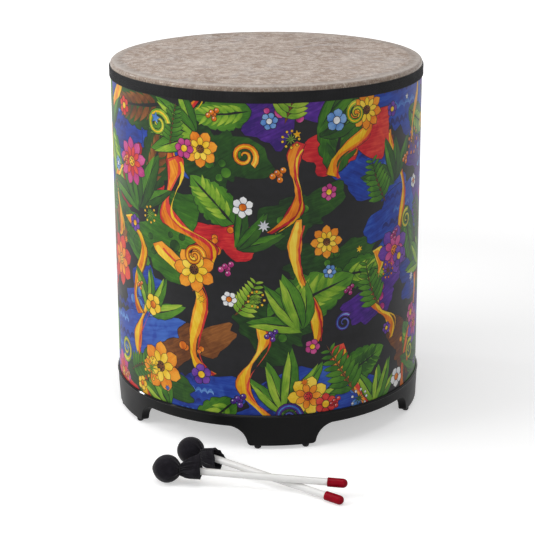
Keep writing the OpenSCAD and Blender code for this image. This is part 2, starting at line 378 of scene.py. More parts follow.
def moulded_black(name, polished_lip):
    material, tree, shader = new_material(name)
    place = object_place(tree)
    grain = use_group(tree, grain_group, Place=place, Scale=1400.0)
    handling = use_group(tree, handling_group, Place=place, Scale=14.0)
    dust = times(tree, handling["Cloud"], grain["Speckle"])
    colour = ramp(tree, dust, (0.0, paint(14, 14, 15)), (0.7, paint(19, 19, 20)), (1.0, paint(27, 27, 28)))
    gloss = between(tree, handling["Cloud"], 0, 1, 0.36, 0.48)
    rubbed = maths(tree, "SUBTRACT", gloss, times(tree, handling["Scratch"], 0.06))
    tooth = grain["Height"]
    if polished_lip:
        rough = off_the_lip(tree, place)
        rubbed = times(tree, rubbed, between(tree, rough, 0, 1, POLISH, 1))
        tooth = times(tree, tooth, rough)
    set_shader(tree, shader, Base_Color=colour, Roughness=rubbed, Specular_IOR_Level=0.11)
    set_shader(tree, shader, Normal=bump(tree, tooth, strength=0.12, distance=0.2 * MM))
    return material


base_black = moulded_black("base_black", True)
ring_black = moulded_black("ring_black", False)
print("made", base_black.name, "and", ring_black.name)

# %% [markdown]
# The head is a film with plant fibres pressed into it. Light fibres cross each other in every
# direction over a warm grey ground with darker clouds. A fibre is drawn as a thin contour line of a
# noise: where the noise passes through its middle value, a narrow band is picked out, and a second
# noise breaks the long lines into short lengths. Near the edge, where the film lies on its ring, it
# is greyer, and the rolled edge, where the film was stretched and glued, is browner and darker. A
# light line along the crest of the roll is a painted highlight.

# %% Fibres and ground of the film
FibreLayer = namedtuple("FibreLayer", "turn scale width")
FIBRE_LAYERS = [
    FibreLayer(0.3, 52, 0.034), FibreLayer(1.35, 66, 0.038), FibreLayer(2.4, 60, 0.034),
    FibreLayer(0.8, 104, 0.045), FibreLayer(1.9, 120, 0.048), FibreLayer(2.9, 150, 0.05)]
FIBRE_STRETCH = 2.6
FIBRE_LIGHT = paint(222, 212, 204)
COOL_GREY = paint(166, 159, 158)


def fibre_layer(tree, place, layer):
    long_way = stretched(tree, place, (1, FIBRE_STRETCH, 1), layer.turn)
    field = noise_of(tree, long_way, layer.scale, detail=2, distortion=1.8, roughness=0.6)
    off_line = maths(tree, "ABSOLUTE", maths(tree, "SUBTRACT", field, 0.5))
    line = between(tree, off_line, layer.width * 0.3, layer.width, 1, 0)
    lengths = between(tree, noise_of(tree, place, layer.scale * 0.9, detail=1), 0.52, 0.64)
    return times(tree, line, lengths)


def all_fibres(tree, place):
    fibres = 0.0
    for layer in FIBRE_LAYERS:
        fibres = maths(tree, "MAXIMUM", fibre_layer(tree, place, layer), fibres)
    return fibres


def film_ground(tree, place, fibres):
    cloud_noise = noise_of(tree, place, scale=11, detail=6, distortion=1.2, roughness=0.62)
    patch_noise = noise_of(tree, place, scale=120, detail=5, distortion=0.6, roughness=0.7)
    clouds = between(tree, cloud_noise, 0.3, 0.7)
    patches = between(tree, patch_noise, 0.3, 0.7)
    tone = weighted(tree, (clouds, 0.72), (patches, 0.28))
    colour = ramp(
        tree, tone, (0.12, paint(132, 112, 97)), (0.5, paint(155, 135, 121)), (0.9, paint(173, 155, 142)))
    cool = between(tree, noise_of(tree, place, scale=20, detail=5, distortion=1.4), 0.52, 0.66)
    colour = tinted(tree, colour, cool, 0.5, COOL_GREY)
    return tone, tinted(tree, colour, fibres, 0.84, FIBRE_LIGHT)


print("layers of fibres:", len(FIBRE_LAYERS))

# %% Fibre film of the head
RIM_START = 209.0 * MM
RIM_BLEND = 4.0 * MM
RIM_GREY = paint(150, 142, 136)
ROLL_TOP = 1.0 * MM
ROLL_BLEND = 2.2 * MM
ROLL_TINT = paint(192, 170, 142)
FRAYED_LIGHT = paint(204, 194, 178)
RIM_FALL = 0.8
CREST = 0.3 * MM
# Colour of the painted highlight along the crest of the roll.
CREST_PAINTED_HIGHLIGHT = paint(208, 201, 194)
film_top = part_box("drumhead")[1].z


def rolled_edge(tree, place, ground):
    height = add(tree, "SeparateXYZ", {"Vector": place}).outputs["Z"]
    roll_z = film_top - ROLL_TOP
    rolled = between(tree, height, roll_z, roll_z - ROLL_BLEND)
    blotch_noise = noise_of(tree, place, scale=190, detail=5, roughness=0.7)
    blotches = between(tree, blotch_noise, 0.35, 0.65, 0.35, 1.0)
    brown = tinted(tree, ground, rolled, blotches, ROLL_TINT, "MULTIPLY")
    frayed = between(tree, noise_of(tree, place, scale=300, detail=4, distortion=1.0), 0.57, 0.66, 0, 0.55)
    worn = tinted(tree, brown, rolled, frayed, FRAYED_LIGHT)
    # A light line along the crest of the roll is a painted highlight, patchy where the blotches are.
    crest_z = film_top - RIM_FALL * MM
    onto_crest_highlight = between(tree, height, crest_z + CREST, crest_z, 0, times(tree, blotches, 0.6))
    off_crest_highlight = between(tree, height, crest_z - CREST, crest_z - 3 * CREST, 1, 0)
    return rolled, tinted(tree, worn, onto_crest_highlight, off_crest_highlight, CREST_PAINTED_HIGHLIGHT)


def fibre_film():
    material, tree, shader = new_material("head_fibre_film")
    place = object_place(tree)
    fibres = all_fibres(tree, place)
    grain = use_group(tree, grain_group, Place=place, Scale=700.0)
    tone, ground = film_ground(tree, place, fibres)
    flat_place = add(tree, "VectorMath", {0: place, 1: (1, 1, 0)}, operation="MULTIPLY").outputs[0]
    radius = add(tree, "VectorMath", {0: flat_place}, operation="LENGTH").outputs["Value"]
    rim = between(tree, radius, RIM_START, RIM_START + RIM_BLEND, 0, 0.45)
    rolled, colour = rolled_edge(tree, place, mixed(tree, rim, ground, RIM_GREY))
    relief = weighted(tree, (fibres, 0.6), (grain["Height"], 0.4))
    set_shader(tree, shader, Base_Color=colour, Roughness=between(tree, tone, 0, 1, 0.66, 0.5))
    set_shader(tree, shader, Normal=bump(tree, relief, strength=0.3, distance=0.4 * MM))
    set_shader(tree, shader, Specular_IOR_Level=0.2)
    set_shader(tree, shader, Coat_Weight=times(tree, rolled, 0.6), Coat_Roughness=0.22)
    return material


head_film = fibre_film()
print("made", head_film.name, "with", len(head_film.node_tree.nodes), "nodes")

# %% [markdown]
# Smaller finishes. The shell's inside is bare pressed fibre, the pads are matt rubber, the screws are
# zinc plated, the rods are glossy white plastic over glass fibre, and the caps are vinyl that was
# dipped and cured, so they are very glossy with a faint ripple. Each keeps its own small detail.

# %% Fibre, rubber and zinc
def pressed_fibre():
    material, tree, shader = new_material("shell_pressed_fibre")
    place = object_place(tree)
    layers = noise_of(tree, stretched(tree, place, (1, 1, 5)), scale=60, detail=5, distortion=0.8)
    flecks = between(tree, noise_of(tree, place, scale=420, detail=3), 0.55, 0.72)
    colour = ramp(
        tree, layers, (0.3, paint(104, 84, 62)), (0.55, paint(134, 110, 84)), (0.75, paint(158, 134, 104)))
    colour = tinted(tree, colour, flecks, 0.5, paint(84, 66, 48))
    relief = maths(tree, "ADD", layers, flecks)
    set_shader(tree, shader, Base_Color=colour, Roughness=between(tree, layers, 0.3, 0.7, 0.72, 0.88))
    set_shader(tree, shader, Normal=bump(tree, relief, strength=0.3, distance=0.4 * MM))
    return material


def matt_rubber(name, dark, light):
    material, tree, shader = new_material(name)
    place = object_place(tree)
    grain = use_group(tree, grain_group, Place=place, Scale=2200.0)
    handling = use_group(tree, handling_group, Place=place, Scale=60.0)
    colour = ramp(tree, handling["Cloud"], (0.0, dark), (1.0, light))
    relief = bump(tree, grain["Height"], strength=0.2, distance=0.2 * MM)
    set_shader(tree, shader, Base_Color=colour, Roughness=between(tree, grain["Speckle"], 0, 1, 0.62, 0.8))
    set_shader(tree, shader, Specular_IOR_Level=0.25, Normal=relief)
    return material


def zinc_plate():
    material, tree, shader = new_material("screw_zinc")
    bloom = noise_of(tree, object_place(tree), scale=380, detail=4, distortion=0.5)
    colour = ramp(tree, bloom, (0.35, paint(150, 152, 150)), (0.65, paint(186, 188, 190)))
    relief = bump(tree, bloom, strength=0.1, distance=0.1 * MM)
    set_shader(tree, shader, Base_Color=colour, Metallic=1.0, Normal=relief)
    set_shader(tree, shader, Roughness=between(tree, bloom, 0.3, 0.7, 0.28, 0.5))
    return material


shell_fibre = pressed_fibre()
pad_rubber = matt_rubber("pad_rubber", paint(12, 12, 13), paint(22, 22, 23))
core_rubber = matt_rubber("core_rubber", paint(58, 52, 50), paint(74, 68, 64))
neck_elastic = matt_rubber("neck_elastic", paint(14, 14, 16), paint(26, 25, 28))
screw_zinc = zinc_plate()
print("made", ", ".join(m.name for m in (shell_fibre, pad_rubber, core_rubber, neck_elastic, screw_zinc)))

# %% Rod and vinyl
def glossy_rod():
    material, tree, shader = new_material("rod_glossy_white")
    place = object_place(tree)
    handling = use_group(tree, handling_group, Place=place, Scale=45.0)
    ripple = noise_of(tree, place, scale=170, detail=2)
    whites = ((0.0, paint(241, 240, 239)), (0.8, paint(236, 235, 233)), (1.0, paint(229, 227, 223)))
    smooth = between(tree, handling["Cloud"], 0, 1, 0.16, 0.27)
    gloss = maths(tree, "ADD", smooth, times(tree, handling["Scratch"], 0.12))
    set_shader(tree, shader, Base_Color=ramp(tree, handling["Cloud"], *whites), Roughness=gloss)
    set_shader(tree, shader, Normal=bump(tree, ripple, strength=0.06, distance=0.2 * MM))
    return material


def dipped_vinyl():
    material, tree, shader = new_material("cap_dipped_vinyl")
    place = object_place(tree)
    flow = noise_of(tree, place, scale=130, detail=2, distortion=0.4)
    handling = use_group(tree, handling_group, Place=place, Scale=70.0)
    colour = ramp(tree, flow, (0.3, paint(134, 0, 22)), (0.7, paint(156, 2, 30)))
    set_shader(tree, shader, Base_Color=colour, Roughness=between(tree, handling["Cloud"], 0, 1, 0.14, 0.24))
    set_shader(tree, shader, Specular_IOR_Level=0.03, Coat_Weight=0.1, Coat_Roughness=0.06)
    set_shader(tree, shader, Normal=bump(tree, flow, strength=0.08, distance=0.4 * MM))
    return material


rod_white = glossy_rod()
cap_vinyl = dipped_vinyl()
print("made", rod_white.name, "and", cap_vinyl.name)

# %% [markdown]
# Most hidden parts, and the rods, caps and pads, are right as CAD made them. They keep their shape and
# only get a finish, which goes into the material slots that the object already has. Both beaters use
# the same names after their number, so the end of a name is enough to find its finish.

# %% Give the CAD nodes their finishes
NODE_FINISHES = {
    "drum_shell": shell_fibre, "head_ring": ring_black, "base_screws": screw_zinc,
    "rod": rod_white, "core": core_rubber, "neck_band": neck_elastic, "end_cap": cap_vinyl,
}


def finish_for(node_name):
    if node_name.startswith("foot_pad"):
        return pad_rubber
    return next((finish for ending, finish in NODE_FINISHES.items() if node_name.endswith(ending)), None)


finished = []
for node_name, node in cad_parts.items():
    node_finish = finish_for(node_name)
    if node_finish:
        finished.append(node_name)
        for slot in node.material_slots:
            slot.material = node_finish
print("nodes that keep their CAD shape:", len(finished))

# %% [markdown]
# Most of the drum is turned, so most pieces are a net of points: a closed section, repeated at many
# stations round the axis. One helper makes the faces of such a net and another turns points in
# millimetres into a mesh that rides on its body. The angle of a station is counted from the front
# of the drum, which faces -Y, towards +X.

# %% Mesh helpers
SHARP_DEGREES = 38


def turn_point(radius, angle, height):
    return radius * math.sin(angle), -radius * math.cos(angle), height


def arc(x, y, radius, start, end, steps):
    angles = [math.radians(start + (end - start) * k / steps) for k in range(steps + 1)]
    return [(x + radius * math.cos(a), y + radius * math.sin(a)) for a in angles]


def net_faces(rows, columns, close_rows, close_columns):
    faces = []
    for i in range(rows if close_rows else rows - 1):
        for j in range(columns if close_columns else columns - 1):
            a, b = i * columns, (i + 1) % rows * columns
            k = (j + 1) % columns
            faces.append((a + j, a + k, b + k, b + j))
    return faces


def make_piece(name, points_mm, faces, body, slot, *materials):
    mesh = bpy.data.meshes.new(name)
    mesh.from_pydata([tuple(c * MM for c in p) for p in points_mm], [], faces)
    for material in materials:
        mesh.materials.append(material)
    mesh.shade_smooth()
    mesh.set_sharp_from_angle(angle=math.radians(SHARP_DEGREES))
    piece = bpy.data.objects.new(name, mesh)
    scene.collection.objects.link(piece)
    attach(piece, body)
    print(f"{name}: {len(mesh.vertices)} points, {len(mesh.polygons)} faces")
    return piece


def face_outwards(piece):
    net = bmesh.new()
    net.from_mesh(piece.data)
    bmesh.ops.recalc_face_normals(net, faces=net.faces)
    net.to_mesh(piece.data)
    net.free()


print("edges stay sharp over", SHARP_DEGREES, "degrees")

# %% [markdown]
# The head could stay as the CAD shape, but real film isn't quite flat: it has a faint wave, and a
# crease where it starts to lie on its ring. So it is turned again from a section with the film's
# true thickness, and its top points are moved up and down by a tenth of a millimetre.

# %% Drum head
FILM_T = 0.7
EDGE_R = 5.0
RIM_W = 20.0
FLAT_RINGS = 30
FLAT_CROWDING = 0.8
RIM_RINGS = 5
ROLL_STEPS = 8
COLLAR_SHARES = (0.66, 0.33, 0.03, 0)
FILM_WAVE = 0.10
WAVE_LENGTH = 55
WAVE_LEVEL = 0.4
HEAD_STATIONS = 240
head_low, head_high = [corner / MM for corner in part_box("drumhead")]
rim_r = head_high.x - EDGE_R - RIM_W
roll_z = head_high.z - RIM_FALL - EDGE_R


def head_section(inset):
    top_z = head_high.z - inset
    flat = [(rim_r * (k / FLAT_RINGS) ** FLAT_CROWDING, top_z) for k in range(1, FLAT_RINGS + 1)]
    rim_shares = [k / RIM_RINGS for k in range(1, RIM_RINGS)]
    rim = [(rim_r + RIM_W * share, top_z - RIM_FALL * share) for share in rim_shares]
    roll = arc(head_high.x - EDGE_R, roll_z, EDGE_R - inset, start=90, end=0, steps=ROLL_STEPS)
    collar = [(head_high.x - inset, head_low.z + share * (roll_z - head_low.z)) for share in COLLAR_SHARES]
    return flat + rim + roll + collar


def film_wave(x, y):
    return FILM_WAVE * noise.noise(Vector((x / WAVE_LENGTH, y / WAVE_LENGTH, WAVE_LEVEL)))


section = head_section(0) + head_section(FILM_T)[::-1]
head_points = []
for radius_mm, height_mm in section:
    for station in range(HEAD_STATIONS):
        x, y, z = turn_point(radius_mm, TURN * station / HEAD_STATIONS, height_mm)
        head_points.append((x, y, z + film_wave(x, y) * (radius_mm < rim_r)))
head_faces = net_faces(len(section), HEAD_STATIONS, False, True)
head_faces.append(tuple(range(HEAD_STATIONS)))
head_faces.append(tuple(range(len(head_points) - HEAD_STATIONS, len(head_points))))
drumhead = make_piece("drumhead_film", head_points, head_faces, "drum", "head_film", head_film)
face_outwards(drumhead)
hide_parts("drumhead")

# %% [markdown]
# A woven tape covers the joint between head and shell. Its weft cords stand up as fine vertical
# ribs, close enough to count in a close view, so they are real geometry: four points for each rib.
# A plain tube with a rib texture would look the same from far away, but not at the outline. The
# weave between the ribs is left to the material, on a map that is measured in metres.

# %% Woven tape
RIB_PITCH = 2.2
WEFT_COUNT = 1300.0


def woven_tape():
    material, tree, shader = new_material("band_woven_tape")
    place = add(tree, "UVMap", uv_map="cloth").outputs["UV"]
    threads = use_group(tree, threads_group, Map=place, Across=2 / (RIB_PITCH * MM), Along=WEFT_COUNT)
    handling = use_group(tree, handling_group, Place=object_place(tree), Scale=22.0)
    # The weave part of this mix is painted shade in the dips between threads; the cloud is wear.
    weave_shade_and_wear = weighted(tree, (threads["Shade"], 0.6), (handling["Cloud"], 0.4))
    colour = ramp(tree, weave_shade_and_wear, (0.1, paint(14, 14, 15)), (0.55, paint(25, 25, 27)), (1.0, paint(40, 40, 42)))
    relief = bump(tree, threads["Height"], strength=0.5, distance=0.3 * MM)
    set_shader(tree, shader, Base_Color=colour, Roughness=between(tree, weave_shade_and_wear, 0, 1, 0.66, 0.44))
    set_shader(tree, shader, Specular_IOR_Level=0.14, Normal=relief)
    set_shader(tree, shader, Sheen_Weight=0.05, Sheen_Roughness=0.5)
    return material


band_weave = woven_tape()
print("made", band_weave.name)

# %% Rim band
RIB_DEPTH = 0.34
POINTS_PER_RIB = 4
VALLEY_POINTS = (0, 1)
SEAM_HALF_GAP = 0.4
BAND_CLEARANCE = 0.05
SELVEDGE = ((0.0, 0.75), (0.02, 0.3), (0.06, 0.05), (0.12, 0.0), (0.3, 0.1), (0.5, 0.14), (0.7, 0.1),
            (0.88, 0.0), (0.94, 0.05), (0.98, 0.3), (1.0, 0.75))
band_low, band_high = [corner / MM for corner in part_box("rim_band")]
band_r = band_high.x
band_h = band_high.z - band_low.z
band_in_r = head_high.x + BAND_CLEARANCE
rib_count = round(TURN * band_r / RIB_PITCH)
stations = rib_count * POINTS_PER_RIB
gap_angle = SEAM_HALF_GAP / band_r


def give_map(piece, name, places):
    layer = piece.data.uv_layers.new(name=name)
    for loop in piece.data.loops:
        layer.data[loop.index].uv = places[loop.vertex_index]


band_section = [(band_r - inset, band_low.z + share * band_h) for share, inset in SELVEDGE]
band_section += [(band_in_r, band_high.z), (band_in_r, band_low.z)]
band_points = []
band_map = []
for row, (radius_mm, height_mm) in enumerate(band_section):
    on_face = 0 < row < len(SELVEDGE) - 1
    for station in range(stations + 1):
        angle = -math.pi + gap_angle + 2 * (math.pi - gap_angle) * station / stations
        dip = RIB_DEPTH * (station % POINTS_PER_RIB in VALLEY_POINTS) * on_face
        band_points.append(turn_point(radius_mm - dip, angle, height_mm))
        band_map.append((angle * band_r * MM, height_mm * MM))
band_rows = len(band_section)
band_faces = net_faces(band_rows, stations + 1, True, False)
for end in (0, stations):
    band_faces.append(tuple(row * (stations + 1) + end for row in range(band_rows)))
rim_band = make_piece("rim_band_tape", band_points, band_faces, "drum", "woven_band", band_weave)
face_outwards(rim_band)
give_map(rim_band, "cloth", band_map)
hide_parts("rim_band")
print("ribs round the band:", rib_count)

# %% [markdown]
# The base ring is one moulding: a channel that the shell stands in, a beaded lip, a leaning outer
# wall and five feet with hollowed sides. Its section is the same all round, except for the lower
# edge, which follows the outline of the feet. So the net has one station for each point of that
# outline, and every moulded edge gets a small radius to catch the light.

# %% Outline of the lower edge
FOOT_COUNT = 5
FOOT_W = 98.5
FOOT_CORNER = 5.5
FLARE_LAP = 0.4
SKIRT_Z = 34.3
WALL_R = 231.3
WALL_LEAN = math.tan(math.radians(2))
FLAT_STEPS = 6
CORNER_STEPS = 6
FLARE_STEPS = 18
GAP_STEPS = 10
ring_low, ring_high = [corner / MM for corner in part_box("base_ring")]
half_pitch = math.pi / FOOT_COUNT
foot_z = ring_low.z
flare_r = SKIRT_Z - foot_z + FLARE_LAP
flare_x = FOOT_W / 2 + flare_r
corner_x = flare_x - math.sqrt((flare_r + FOOT_CORNER) ** 2 - FOOT_CORNER ** 2)
meet_angle = math.degrees(math.asin(FOOT_CORNER / (flare_r + FOOT_CORNER)))


def half_outline():
    flat = [(corner_x * k / FLAT_STEPS, foot_z) for k in range(FLAT_STEPS)]
    corner = arc(corner_x, foot_z + FOOT_CORNER, FOOT_CORNER, -90, -meet_angle, CORNER_STEPS)
    flare = arc(flare_x, foot_z, flare_r, 180 - meet_angle, 90, FLARE_STEPS)[1:]
    foot_side = [(x, min(z, SKIRT_Z), 0.0) for x, z in flat + corner + flare]
    gap = [(flare_x, SKIRT_Z, k / GAP_STEPS) for k in range(1, GAP_STEPS + 1)]
    return foot_side + gap


def station_angle(x, share, radius):
    return math.asin(x / radius) * (1 - share) + half_pitch * share


def wall_r(z):
    return WALL_R - (LIP_Z - z) * WALL_LEAN


outline = half_outline()
print("points along half a foot:", len(outline))

# %% Section of the base ring
BEAD_IN_R = 229.1
BEAD_OUT_R = 232.0
LIP_ROUND = 0.5
LIP_CURVE = 0.7
LAND_PARTS = (0.1, 0.5, 0.9)
SHELF_Z = 38.3
CHANNEL_R = 228.9
CHANNEL_IN_R = 222.45
CHANNEL_CHAMFER = 0.4
INNER_WALL = 4
MOULD_ROUND = 0.9
NECK_DROP = 0.5
NECK_STEP = 0.6
NECK_PROUD = 0.03
inner_r = CHANNEL_IN_R - INNER_WALL


def channel_section():
    top_z = ring_high.z - MOULD_ROUND
    low_z = SHELF_Z + CHANNEL_CHAMFER
    inner_top = arc(inner_r + MOULD_ROUND, top_z, MOULD_ROUND, start=180, end=90, steps=3)
    outer_top = arc(CHANNEL_IN_R - MOULD_ROUND, top_z, MOULD_ROUND, start=90, end=0, steps=3)
    inner_side = [(CHANNEL_IN_R, low_z), (CHANNEL_IN_R + CHANNEL_CHAMFER, SHELF_Z)]
    outer_side = [(CHANNEL_R - CHANNEL_CHAMFER, SHELF_Z), (CHANNEL_R, low_z)]
    under_lip = (CHANNEL_R, LIP_Z - 2 * BEAD_R)
    return inner_top + outer_top + inner_side + outer_side + [under_lip]


def lip_section():
    inner = arc(BEAD_IN_R + LIP_ROUND, LIP_Z - LIP_ROUND, LIP_ROUND, start=165, end=45, steps=6)
    outer_x = BEAD_OUT_R - LIP_CURVE
    outer_z = inner[-1][0] + inner[-1][1] - outer_x - LIP_CURVE * math.sqrt(2)
    outer = arc(outer_x, outer_z, LIP_CURVE, start=45, end=-58, steps=7)
    land = [tuple(a + (b - a) * part for a, b in zip(inner[-1], outer[0])) for part in LAND_PARTS]
    neck_z = LIP_Z - 2 * BEAD_R - NECK_DROP
    neck = [(wall_r(neck_z) + NECK_PROUD, neck_z), (wall_r(neck_z - NECK_STEP), neck_z - NECK_STEP)]
    return inner + land + outer + neck


fixed = channel_section() + lip_section()
print("points of the section that never change:", len(fixed))

# %% Base ring
WALL_PARTS = (0.25, 0.5, 0.75, 0.93)
EDGE_TURNS = [math.radians(a) for a in (0, 30, 60, 90)]
EDGE_STEPS = [(MOULD_ROUND * (1 - math.sin(a)), MOULD_ROUND * (1 - math.cos(a))) for a in EDGE_TURNS]
INNER_RISE = 6.0


def inward_normals(run):
    normals = []
    for k in range(len(run)):
        before = run[max(k - 1, 0)]
        after = run[min(k + 1, len(run) - 1)]
        way = Vector((after[0] - before[0], after[1] - before[1])).normalized()
        normals.append((-way.y, way.x))
    return normals


def column(place, normal):
    x, z, share = place
    nx, nz = normal[0] * (share == 0), normal[1]
    start_z = fixed[-1][1]
    end_x, end_z = x + nx * MOULD_ROUND, z + nz * MOULD_ROUND
    rows = [(x, share, r, h) for r, h in fixed]
    for part in WALL_PARTS:
        h = start_z + (end_z - start_z) * part
        rows.append((x + (end_x - x) * part, share, wall_r(h), h))
    for into, deep in EDGE_STEPS:
        h = z + nz * into
        rows.append((x + nx * into, share, wall_r(h) - deep, h))
    for into, deep in EDGE_STEPS[::-1]:
        rows.append((x + nx * into, share, inner_r + deep, z + nz * into))
    rows.append((x, share, inner_r, SKIRT_Z + INNER_RISE))
    return rows


flat_run = [(x * (1 - share) + wall_r(SKIRT_Z) * half_pitch * share, z) for x, z, share in outline]
half_columns = [column(place, normal) for place, normal in zip(outline, inward_normals(flat_run))]
pad_corners = [*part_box("foot_pad_1"), *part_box("foot_pad_2")]
pad_middle = sum(pad_corners, Vector()) / len(pad_corners)
first_foot = math.atan2(pad_middle.x, -pad_middle.y)
ring_columns = []
for foot in range(FOOT_COUNT):
    foot_angle = first_foot + 2 * half_pitch * foot
    for rows in half_columns[-2:0:-1]:
        ring_columns.append([(foot_angle - station_angle(x, s, r), r, h) for x, s, r, h in rows])
    for rows in half_columns:
        ring_columns.append([(foot_angle + station_angle(x, s, r), r, h) for x, s, r, h in rows])
ring_points = [turn_point(r, angle, h) for rows in ring_columns for angle, r, h in rows]
ring_faces = net_faces(len(ring_columns), len(half_columns[0]), True, True)
base_ring = make_piece("base_ring_moulding", ring_points, ring_faces, "drum", "black_moulding", base_black)
face_outwards(base_ring)
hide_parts("base_ring")

# %% [markdown]
# The wrap is a printed sheet. Its design is drawn here as flat shapes, in layers like a stencil
# print: ponds and hills first, then leaves, vines and ferns, then blossoms and small seeds. Every
# shape is an outline made by a formula and placed by a seeded draw, and most get a dark edge by
# growing the same outline a little. A picture file would be simpler, but shapes stay sharp at any
# distance. Later shapes cover earlier ones.

# %% Flat shapes
PRINT_SEED = 41
EDGE = 1.0
THIN_EDGE = 0.8
FINE_EDGE = 0.7
HAND_WOBBLE = 0.4
HAND_SHARE = 0.006
LARGEST_ANGLE = 6.28
TINY = 1e-9
Motif = namedtuple("Motif", "outline ink tone place")
wrap_low, wrap_high = [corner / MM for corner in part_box("shell_wrap")]
wrap_r = wrap_high.x
print_w = TURN * wrap_r - 2 * SEAM_HALF_GAP
print_h = wrap_high.z - wrap_low.z
draw = np.random.default_rng(PRINT_SEED)
motifs = []


def any_angle():
    return draw.uniform(0, LARGEST_ANGLE)


def towards(x, y, way, away):
    return x + away * math.cos(way), y + away * math.sin(way)


def carried(x, y, angle, along, across):
    c, s = math.cos(angle), math.sin(angle)
    return x + along * c - across * s, y + along * s + across * c


def grown(outline, by):
    run = np.roll(outline, -1, 0) - np.roll(outline, 1, 0)
    out = np.stack([run[:, 1], -run[:, 0]], 1)
    length = np.linalg.norm(out, axis=1, keepdims=True) + TINY
    return outline + by * out / length


def moved(outline, x, y, angle):
    return np.stack(carried(x, y, angle, outline[:, 0], outline[:, 1]), 1)


def stamp(outline, ink, x, y, angle, length, width, edge=EDGE):
    tone = draw.random()
    place = (x, y, angle, length, width)
    outline = outline + draw.normal(0, min(HAND_WOBBLE, length * HAND_SHARE), outline.shape)
    if edge:
        motifs.append(Motif(moved(grown(outline, edge), x, y, angle), "night", tone, place))
    motifs.append(Motif(moved(outline, x, y, angle), ink, tone, place))


print(f"sheet {print_w:.0f} by {print_h:.0f} mm")

# %% Round and pointed outlines
LOBE_WAVES = (2, 3, 5, 9, 15)
LOBE_FADE = 0.85


def polar(radius, angles):
    return np.stack([radius * np.cos(angles), radius * np.sin(angles)], 1)


def drop(length, width, fullness=1.0, bluntness=1.0, bend=0.0, steps=8):
    s = np.linspace(0, 1, steps + 1)
    half = width / 2 * np.sin(np.pi * s ** fullness).clip(0) ** bluntness
    middle = bend * length * s * s
    lower = np.stack([length * s, middle - half], 1)
    upper = np.stack([length * s, middle + half], 1)
    return np.concatenate([lower, upper[-2:0:-1]])


def round_shape(radius, steps=12):
    return polar(radius, np.linspace(0, TURN, steps, endpoint=False))


def pointed(radius, inner, points):
    corners = np.arange(2 * points)
    return polar(np.where(corners % 2 == 0, radius, inner), corners * np.pi / points)


def lobed(radius, stretch, wobble, steps=64):
    a = np.linspace(0, TURN, steps, endpoint=False)
    r = np.full(steps, float(radius))
    for waves in LOBE_WAVES:
        r += radius * wobble / waves ** LOBE_FADE * np.cos(waves * a + any_angle())
    return np.stack([r * np.cos(a) * stretch, r * np.sin(a) / stretch], 1)


print("points in a drop:", len(drop(1, 1)), "and in a star:", len(pointed(1, 0.5, 5)))

# %% Curled and wavy outlines
CURL_TURNS = 1.6
CURL_CLOSES = 0.84
CURL_THINS = 0.72
RIBBON_STEPS = 26


def curl(radius, width):
    share = np.linspace(0, 1, RIBBON_STEPS)
    a = TURN * CURL_TURNS * share
    middle = radius * (1 - CURL_CLOSES * share)
    half = width / 2 * (1 - CURL_THINS * share)
    return np.concatenate([polar(middle + half, a), polar(middle - half, a)[::-1]])


def wavy(length, width, waves, swing, phase):
    s = np.linspace(0, 1, RIBBON_STEPS)
    middle = swing * np.sin(TURN * waves * s + phase)
    half = width / 2 * (0.62 + 0.38 * np.cos(2 * TURN * waves * s + phase))
    lower = np.stack([length * s, middle - half], 1)
    upper = np.stack([length * s, middle + half], 1)
    return np.concatenate([lower, upper[::-1]])


def scallops(length, height, count, steps=5):
    s = np.linspace(0, 1, count * steps + 1)
    arches = np.abs(np.sin(np.pi * count * s))
    upper = np.stack([length * (s - 0.5), height * (0.35 + 0.65 * arches)], 1)
    lower = np.stack([length * (s - 0.5), height * (0.45 * arches - 0.1)], 1)
    return np.concatenate([lower, upper[::-1]])


print("points in a ribbon:", len(curl(10, 2)))

# %% [markdown]
# A motif is a small recipe that stamps a few outlines in order: a leaf is a blade, a lighter half and
# a midrib, and a blossom is two rows of petals round an eye. The recipes take a place and a size, and
# draw the rest by chance within limits, so no two come out alike.

# %% Ponds and hills
POND_TILT = (-0.5, 0.5)
POND_STRETCH = (1.0, 1.45)
POND_WOBBLE = 0.42
RIPPLES = 5
RIPPLE_LENGTH = (0.5, 1.0)
RIPPLE_SHIFT = (-0.3, 0.3)
RIPPLE_SPACING = 0.3
RIPPLE_HEIGHT = 0.15
RIPPLE_ARCHES = 4
HILL_TILT = (-0.6, 0.6)
HILL_STRETCH = (0.9, 1.5)
HILL_WOBBLE = 0.5
HILL_SPOTS = 7
SPOT_AWAY = (0.1, 0.62)
SPOT_SIZE = (0.07, 0.16)


def pond(x, y, radius):
    turn = draw.uniform(*POND_TILT)
    shore = lobed(radius, draw.uniform(*POND_STRETCH), POND_WOBBLE)
    stamp(shore, "blue", x, y, turn, 2 * radius, radius)
    for k in range(RIPPLES):
        length = radius * draw.uniform(*RIPPLE_LENGTH)
        rise = radius * (k - RIPPLES // 2) * RIPPLE_SPACING
        shift = radius * draw.uniform(*RIPPLE_SHIFT)
        ink = "sky" if k % 2 else "deep_blue"
        ripple = scallops(length, radius * RIPPLE_HEIGHT, RIPPLE_ARCHES)
        stamp(ripple, ink, x + shift, y + rise, turn * 0.3, length, radius * 0.1, edge=0)


def hill(x, y, radius, ink, spots):
    foot = lobed(radius, draw.uniform(*HILL_STRETCH), HILL_WOBBLE)
    stamp(foot, ink, x, y, draw.uniform(*HILL_TILT), 2 * radius, radius)
    for _ in range(HILL_SPOTS):
        away = radius * draw.uniform(*SPOT_AWAY)
        way = any_angle()
        size = radius * draw.uniform(*SPOT_SIZE)
        stamp(round_shape(size), spots, *towards(x, y, way, away), way, size, size, edge=FINE_EDGE)


print("ripples on a pond:", RIPPLES, "and spots on a hill:", HILL_SPOTS)

# %% Leaves
LEAF_FORM = {"fullness": 0.85, "bluntness": 0.9}
LEAF_BEND = (-0.16, 0.16)
RIB_REACH = 0.97
RIB_BREADTH = 0.07
SPRAY_LEAN = (0.44, 0.58)
SPRAY_LENGTH = (0.86, 1.08)
SPRAY_BREADTH = (0.26, 0.34)


